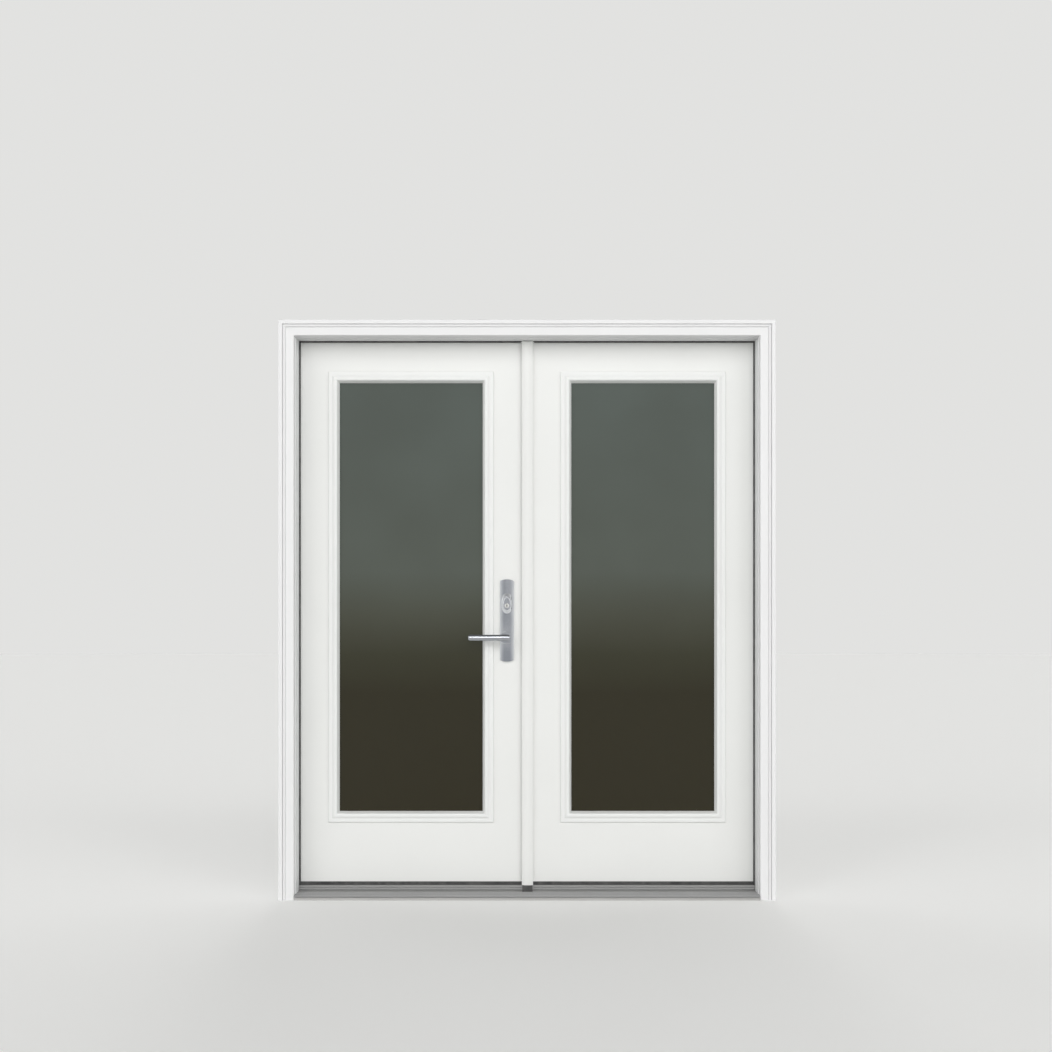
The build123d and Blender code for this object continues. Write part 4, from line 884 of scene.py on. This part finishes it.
@dataclass
class Leaf:
    """One glazed leaf with its sweep, and the plugs in its room-side lite frame."""

    name: str
    body: Body
    plug: ScrewPlug = ScrewPlug(0.0034, 0.0005)
    plug_inset: float = 0.0075
    flat_drop: float = 0.005
    upright_plugs: int = 7
    level_plugs: int = 3

    def dress(self, palette: Palette) -> None:
        """Gives the leaf's pieces their finishes.

        Args:
            palette: The finishes.
        """
        palette.dress(Finish.SLAB, f"{self.name}_slab")
        palette.dress(Finish.SEAL, f"{self.name}_sweep")
        palette.dress(Finish.SPACER, f"{self.name}_glass_spacer")
        for face in ("outside", "inside"):
            palette.dress(Finish.LITE, f"{self.name}_lite_frame_{face}")
            palette.dress(Finish.GLASS, f"{self.name}_pane_{face}")

    def plug_places(self) -> list[Matrix]:
        """Finds the places of the plugs round the room-side lite frame.

        Returns:
            One matrix for each plug.
        """
        low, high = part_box(f"{self.name}_lite_frame_inside")
        face_y = high.y - self.flat_drop
        left, right = low.x + self.plug_inset, high.x - self.plug_inset
        bottom, top = low.z + self.plug_inset, high.z - self.plug_inset
        spots = []
        for step in range(self.upright_plugs):
            height = bottom + (top - bottom) * (step + 0.5) / self.upright_plugs
            spots += [(left, height), (right, height)]
        for step in range(self.level_plugs):
            across = left + (right - left) * (step + 0.5) / self.level_plugs
            spots += [(across, bottom), (across, top)]
        return [seat(Vector((x, face_y, z)), Vector((0, 1, 0))) for x, z in spots]

    def build(self, palette: Palette) -> None:
        """Builds the leaf's small fittings."""
        shape = copies(self.plug.make, self.plug_places())
        finished_piece(f"{self.name}_screw_plugs", shape, self.body, Finish.LITE, palette)


@dataclass
class Hinges:
    """Hinge leaves and pins, with the screws of each plate."""

    screw: CrossScrew = CrossScrew(0.0044, 0.0003)
    heights: tuple[float, ...] = (-0.040, -0.015, 0.015, 0.040)
    near_y: float = 0.012
    far_y: float = 0.026
    jamb_gap: float = 0.003
    first_turn: float = 17.0
    turn_step: float = 31.0

    def dress(self, palette: Palette) -> None:
        """Gives the hinges their finish.

        Args:
            palette: The finishes.
        """
        palette.dress(Finish.NICKEL, "hinge_pins")
        for side in ("left", "right"):
            for part in ("frame", "door"):
                for place in ("top", "middle", "bottom"):
                    palette.dress(Finish.NICKEL, f"{side}_{part}_hinge_leaf_{place}")

    def screw_places(self, side: str, part: str) -> list[Matrix]:
        """Places of the screws in the plates of one side and part.

        Args:
            side: "left" or "right".
            part: "frame" or "door".

        Returns:
            One matrix for each screw.
        """
        outwards = -1 if side == "left" else 1
        slab_low, slab_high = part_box("active_slab" if side == "left" else "inactive_slab")
        edge = slab_low.x if side == "left" else slab_high.x
        plate_x = edge if part == "door" else edge + outwards * self.jamb_gap
        spots = []
        for place in ("top", "middle", "bottom"):
            low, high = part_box(f"{side}_{part}_hinge_leaf_{place}")
            middle = (low.z + high.z) / 2
            for rise in self.heights:
                depth = self.near_y if rise in (self.heights[0], self.heights[-1]) else self.far_y
                spots.append(Vector((plate_x, low.y + depth, middle + rise)))
        facing = outwards if part == "door" else -outwards
        return screw_row(spots, Vector((facing, 0, 0)), self.first_turn, self.turn_step)

    def build(self, palette: Palette) -> None:
        """Builds the screws of both sides.

        Args:
            palette: The finishes.
        """
        for side, leaf_body in (("left", Body.ACTIVE), ("right", Body.INACTIVE)):
            for part, body in (("frame", Body.FRAME), ("door", leaf_body)):
                shape = copies(self.screw.make, self.screw_places(side, part))
                finished_piece(f"{side}_{part}_hinge_screws", shape, body, Finish.NICKEL, palette)


@dataclass
class LockTrim:
    """Lock, handle plates, levers and cylinder of the active leaf."""

    plate_screw: CrossScrew = CrossScrew(0.0040, 0.0010, sunk=0.002)
    plate_screw_drop: float = 0.017
    plate_screw_turn: float = 24.0
    plate_thickness: float = 0.010
    lever_x: float = -0.0745
    edge_screw: CrossScrew = CrossScrew(0.0036, 0.0003)
    edge_screw_inset: float = 0.020
    edge_screw_first_turn: float = 12.0
    edge_screw_turn: float = 40.0
    ring_radius: float = 0.0079
    ring_section: float = 0.0008
    ring_sides: int = 12
    ring_steps: int = 48
    ring_sharp: float = 60.0
    # Size of the key slot, and of the dark box of painted shade within it.
    keyway_width: float = 0.0033
    keyway_height: float = 0.0099
    shade_box_drop: float = 0.0008
    shade_box_depth: float = 0.004
    shade_box_cuts: int = 4
    ward_inset: float = 0.0002
    ward_rise: float = 0.0003

    def dress(self, palette: Palette) -> None:
        """Gives the lock and its trim their finishes.

        Args:
            palette: The finishes.
        """
        palette.dress(Finish.NICKEL, "outside_lever", "inside_lever", "lock_cylinder", "thumbturn")
        palette.dress(Finish.PLATE, "outside_escutcheon", "inside_escutcheon")
        palette.dress(Finish.BRIGHT, "cylinder_plug")
        palette.dress(
            Finish.STEEL, "lock_case", "lock_faceplate", "bolt_boxes", "latch_bolt", "deadbolt",
            "locking_bolts", "lever_spindle",
        )

    def plate_screws(self, palette: Palette) -> None:
        """Sets two raised screws in the room-side handle plate.

        Args:
            palette: The finishes.
        """
        low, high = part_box("inside_escutcheon")
        face_y = low.y + self.plate_thickness
        heights = (low.z + self.plate_screw_drop, high.z - self.plate_screw_drop)
        spots = [Vector((self.lever_x, face_y, height)) for height in heights]
        places = screw_row(spots, Vector((0, 1, 0)), 0.0, self.plate_screw_turn)
        shape = copies(self.plate_screw.make, places)
        finished_piece("inside_plate_screws", shape, Body.ACTIVE, Finish.NICKEL, palette)

    def edge_screws(self, palette: Palette) -> None:
        """Sets the screws of the long faceplate in the leaf's edge.

        Args:
            palette: The finishes.
        """
        low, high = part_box("lock_faceplate")
        case_low, case_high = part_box("lock_case")
        middle_y = (low.y + high.y) / 2
        heights = (
            low.z + self.edge_screw_inset,
            case_low.z - self.edge_screw_inset,
            case_high.z + self.edge_screw_inset,
            high.z - self.edge_screw_inset,
        )
        spots = [Vector((high.x, middle_y, height)) for height in heights]
        places = screw_row(spots, Vector((1, 0, 0)), self.edge_screw_first_turn, self.edge_screw_turn)
        shape = copies(self.edge_screw.make, places)
        finished_piece("faceplate_screws", shape, Body.ACTIVE, Finish.STEEL, palette)

    def key_ring(self, palette: Palette) -> None:
        """Sets a bright ring round the key plug.

        Args:
            palette: The finishes.
        """
        low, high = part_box("lock_cylinder")
        centre = Vector(((low.x + high.x) / 2, low.y, (low.z + high.z) / 2))
        shape = bmesh.new()
        start = Matrix.Translation(centre + Vector((self.ring_radius, 0, 0)))
        bmesh.ops.create_circle(
            shape, cap_ends=False, segments=self.ring_sides, radius=self.ring_section, matrix=start
        )
        bmesh.ops.spin(
            shape, geom=shape.verts[:] + shape.edges[:], cent=centre, axis=(0, 1, 0),
            angle=2 * math.pi, steps=self.ring_steps, use_merge=True,
        )
        finished_piece("key_ring", shape, Body.ACTIVE, Finish.BRIGHT, palette, sharp=self.ring_sharp)

    def keyway_shade_box(self, palette: Palette) -> None:
        """Adds a dark box in the key slot as painted shade, where the deep slot would look dark; small insets
        on its front stand for the pins and wards.

        Args:
            palette: The finishes.
        """
        low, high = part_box("lock_cylinder")
        size = Vector((self.keyway_width, self.shade_box_depth, self.keyway_height))
        front = low.y + self.shade_box_drop
        centre = Vector(((low.x + high.x) / 2, front + size.y / 2, (low.z + high.z) / 2))
        # Painted shade: a dark box set into the key slot.
        shape = bmesh.new()
        place = Matrix.Translation(centre) @ Matrix.Diagonal((*size, 1.0))
        bmesh.ops.create_cube(shape, size=1.0, matrix=place)
        bmesh.ops.subdivide_edges(shape, edges=shape.edges, cuts=self.shade_box_cuts, use_grid_fill=True)
        wards = [face for face in shape.faces if face.normal.y < -SQUARE_ON]
        bmesh.ops.inset_individual(shape, faces=wards, thickness=self.ward_inset, depth=self.ward_rise)
        finished_piece("keyway_shade_box", shape, Body.TURN, Finish.SEAL, palette)

    def build(self, palette: Palette) -> None:
        """Builds the trim's small fittings.

        Args:
            palette: The finishes.
        """
        self.plate_screws(palette)
        self.edge_screws(palette)
        self.key_ring(palette)
        self.keyway_shade_box(palette)


@dataclass
class MeetingEdge:
    """Astragal, strikes and flush bolts of the inactive leaf."""

    screw: CrossScrew = CrossScrew(0.0033, 0.0003)
    first_turn: float = 8.0
    turn_step: float = 37.0
    strike_screw_z: tuple[float, ...] = (0.9375, 1.0180, 1.1015)
    half_bolt: float = 0.013
    bolt_screw_reach: float = 0.0225
    head_screw: CrossScrew = CrossScrew(0.0030, 0.0002)
    sill_screw: CrossScrew = CrossScrew(0.0030, 0.0001)
    plate_thickness: float = 0.0016
    plate_screw_reach: float = 0.018

    def dress(self, palette: Palette) -> None:
        """Gives the meeting edge its finishes.

        Args:
            palette: The finishes.
        """
        palette.dress(Finish.SLAB, "astragal")
        palette.dress(Finish.SEAL, "astragal_weatherstrip")
        palette.dress(Finish.STEEL, "lock_strikes", "top_flush_bolt", "bottom_flush_bolt")

    def strike_screws(self, palette: Palette) -> None:
        """Sets the screws of the strikes in the astragal.

        Args:
            palette: The finishes.
        """
        low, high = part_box("lock_strikes")
        middle_y = (low.y + high.y) / 2
        bolt_low, bolt_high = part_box("locking_bolts")
        heights = list(self.strike_screw_z)
        for height in (bolt_low.z + self.half_bolt, bolt_high.z - self.half_bolt):
            heights += [height - self.bolt_screw_reach, height + self.bolt_screw_reach]
        spots = [Vector((low.x, middle_y, height)) for height in heights]
        places = screw_row(spots, Vector((-1, 0, 0)), self.first_turn, self.turn_step)
        shape = copies(self.screw.make, places)
        finished_piece("strike_screws", shape, Body.INACTIVE, Finish.STEEL, palette)

    def flush_strike_screws(self, palette: Palette) -> None:
        """Sets the screws of the flush bolts' plates in the head and in the cap.

        Args:
            palette: The finishes.
        """
        low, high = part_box("flush_bolt_strikes")
        middle = (low + high) / 2
        ends = (
            ("head_strike_screws", self.head_screw, high.z - self.plate_thickness, -1),
            ("cap_strike_screws", self.sill_screw, low.z + self.plate_thickness, 1),
        )
        for name, screw, height, facing in ends:
            spots = [Vector((middle.x + side * self.plate_screw_reach, middle.y, height)) for side in (-1, 1)]
            places = [seat(spot, Vector((0, 0, facing))) for spot in spots]
            finished_piece(name, copies(screw.make, places), Body.FRAME, Finish.STEEL, palette)

    def build(self, palette: Palette) -> None:
        """Builds the screws of the meeting edge."""
        self.strike_screws(palette)
        self.flush_strike_screws(palette)


# Studio
@dataclass(frozen=True)
class SoftSun:
    """Broad, even light from one direction, at azimuth 0 in front of the unit and above 0 to its right."""

    name: str
    azimuth: float
    elevation: float
    spread: float
    strength: float
    mirrored: bool = False
    distance: float = 6.0

    def hang(self) -> None:
        """Adds the lamp to the scene."""
        turn, rise = math.radians(self.azimuth), math.radians(self.elevation)
        toward = Vector((math.sin(turn) * math.cos(rise), -math.cos(turn) * math.cos(rise), math.sin(rise)))
        lamp = bpy.data.lights.new(self.name, "SUN")
        lamp.energy = self.strength
        lamp.angle = math.radians(self.spread)
        holder = bpy.data.objects.new(self.name, lamp)
        holder.location = toward * self.distance
        holder.rotation_euler = (-toward).to_track_quat("-Z", "Y").to_euler()
        holder.visible_glossy = self.mirrored
        bpy.context.scene.collection.objects.link(holder)


@dataclass
class Studio:
    """Pale floor, plain backdrop, soft lamps and the camera."""

    floor_reach: float = 60.0
    floor_sides: int = 96
    floor_colour: Colour = (0.86, 0.86, 0.85)
    floor_roughness: float = 0.9
    floor_lift: float = 0.126
    backdrop: Colour = (1.0, 1.0, 0.985)
    backdrop_level: float = 0.76
    zenith_level: float = 0.15
    backdrop_top: float = 0.42
    zenith_start: float = 0.78
    lens: float = 51.47
    sensor: float = 36.0
    camera_place: tuple[float, float, float] = (-0.0037, -5.5285, 0.988)
    camera_tilt: float = 90.0
    camera_rise: float = 0.0990
    lamps: tuple[SoftSun, ...] = (
        SoftSun("key_lamp", 6.0, 33.0, 30.0, 0.36),
        SoftSun("left_lamp", -42.0, 12.0, 40.0, 0.46),
        SoftSun("right_lamp", 42.0, 12.0, 40.0, 0.46),
        SoftSun("front_lamp", 0.0, 5.0, 16.0, 0.22),
        SoftSun("strip_lamp", 0.0, 17.5, 11.0, 0.22, mirrored=True),
        SoftSun("left_card_lamp", -32.0, 34.0, 14.0, 0.14),
        SoftSun("right_card_lamp", 32.0, 34.0, 14.0, 0.14),
        SoftSun("back_lamp", 174.0, 33.0, 30.0, 0.36),
        SoftSun("room_left_lamp", 138.0, 12.0, 40.0, 0.5),
        SoftSun("room_right_lamp", -138.0, 12.0, 40.0, 0.5),
        SoftSun("room_lamp", 180.0, 5.0, 16.0, 0.3),
        SoftSun("room_strip_lamp", 180.0, 17.5, 11.0, 0.2, mirrored=True),
    )

    def floor(self) -> None:
        """Lays the floor. Seen directly it is lifted to the backdrop's tone, and keeps its shadows."""
        shape = bmesh.new()
        bmesh.ops.create_circle(shape, cap_ends=True, segments=self.floor_sides, radius=self.floor_reach)
        mesh = bpy.data.meshes.new("floor")
        shape.to_mesh(mesh)
        shape.free()
        surface = Surface("floor_finish")
        path = surface.node("ShaderNodeLightPath").outputs
        seen = path["Is Camera Ray"]
        for kind in ("Is Glossy Ray", "Is Transmission Ray"):
            seen = surface.combine("MAXIMUM", seen, path[kind])
        surface.settings(
            Base_Color=(*self.floor_colour, 1.0), Roughness=self.floor_roughness, Specular_IOR_Level=0.0,
            Emission_Color=(*self.backdrop, 1.0),
            Emission_Strength=surface.spread(seen, 0.0, self.floor_lift),
        )
        mesh.materials.append(surface.material)
        floor = bpy.data.objects.new("floor", mesh)
        bpy.context.scene.collection.objects.link(floor)

    def sky(self) -> None:
        """Surrounds the scene with an even pale backdrop, which darkens overhead."""
        world = bpy.data.worlds.new("studio_world")
        bpy.context.scene.world = world
        world.use_nodes = True
        around = Wiring(world.node_tree)
        height = around.axis(around.node("ShaderNodeTexCoord").outputs["Generated"], "Z")
        level = around.remap(
            height, low=self.backdrop_top, high=self.zenith_start,
            to_low=self.backdrop_level, to_high=self.zenith_level,
        )
        light = world.node_tree.nodes["Background"].inputs
        around.give(light["Color"], (*self.backdrop, 1.0))
        around.give(light["Strength"], level)

    def camera(self) -> None:
        """Places the camera at the photograph's viewing angle."""
        data = bpy.data.cameras.new("camera")
        data.lens = self.lens
        data.sensor_width = self.sensor
        data.shift_y = self.camera_rise
        holder = bpy.data.objects.new("camera", data)
        holder.location = self.camera_place
        holder.rotation_euler = (math.radians(self.camera_tilt), 0.0, 0.0)
        bpy.context.scene.collection.objects.link(holder)
        bpy.context.scene.camera = holder

    def build(self) -> None:
        """Sets up the whole studio."""
        self.camera()
        self.floor()
        self.sky()
        for lamp in self.lamps:
            lamp.hang()
        bpy.context.scene.view_settings.view_transform = "Standard"


def main() -> None:
    """Builds the studio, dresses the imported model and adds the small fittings."""
    logging.basicConfig(level=logging.INFO, format="%(name)s: %(message)s")
    Studio().build()
    palette = Palette(Effects())
    OuterFrame().dress(palette)
    assemblies = (
        Leaf("active", Body.ACTIVE),
        Leaf("inactive", Body.INACTIVE),
        Hinges(),
        LockTrim(),
        MeetingEdge(),
    )
    for assembly in assemblies:
        assembly.dress(palette)
        assembly.build(palette)


if __name__ == "__main__":
    main()
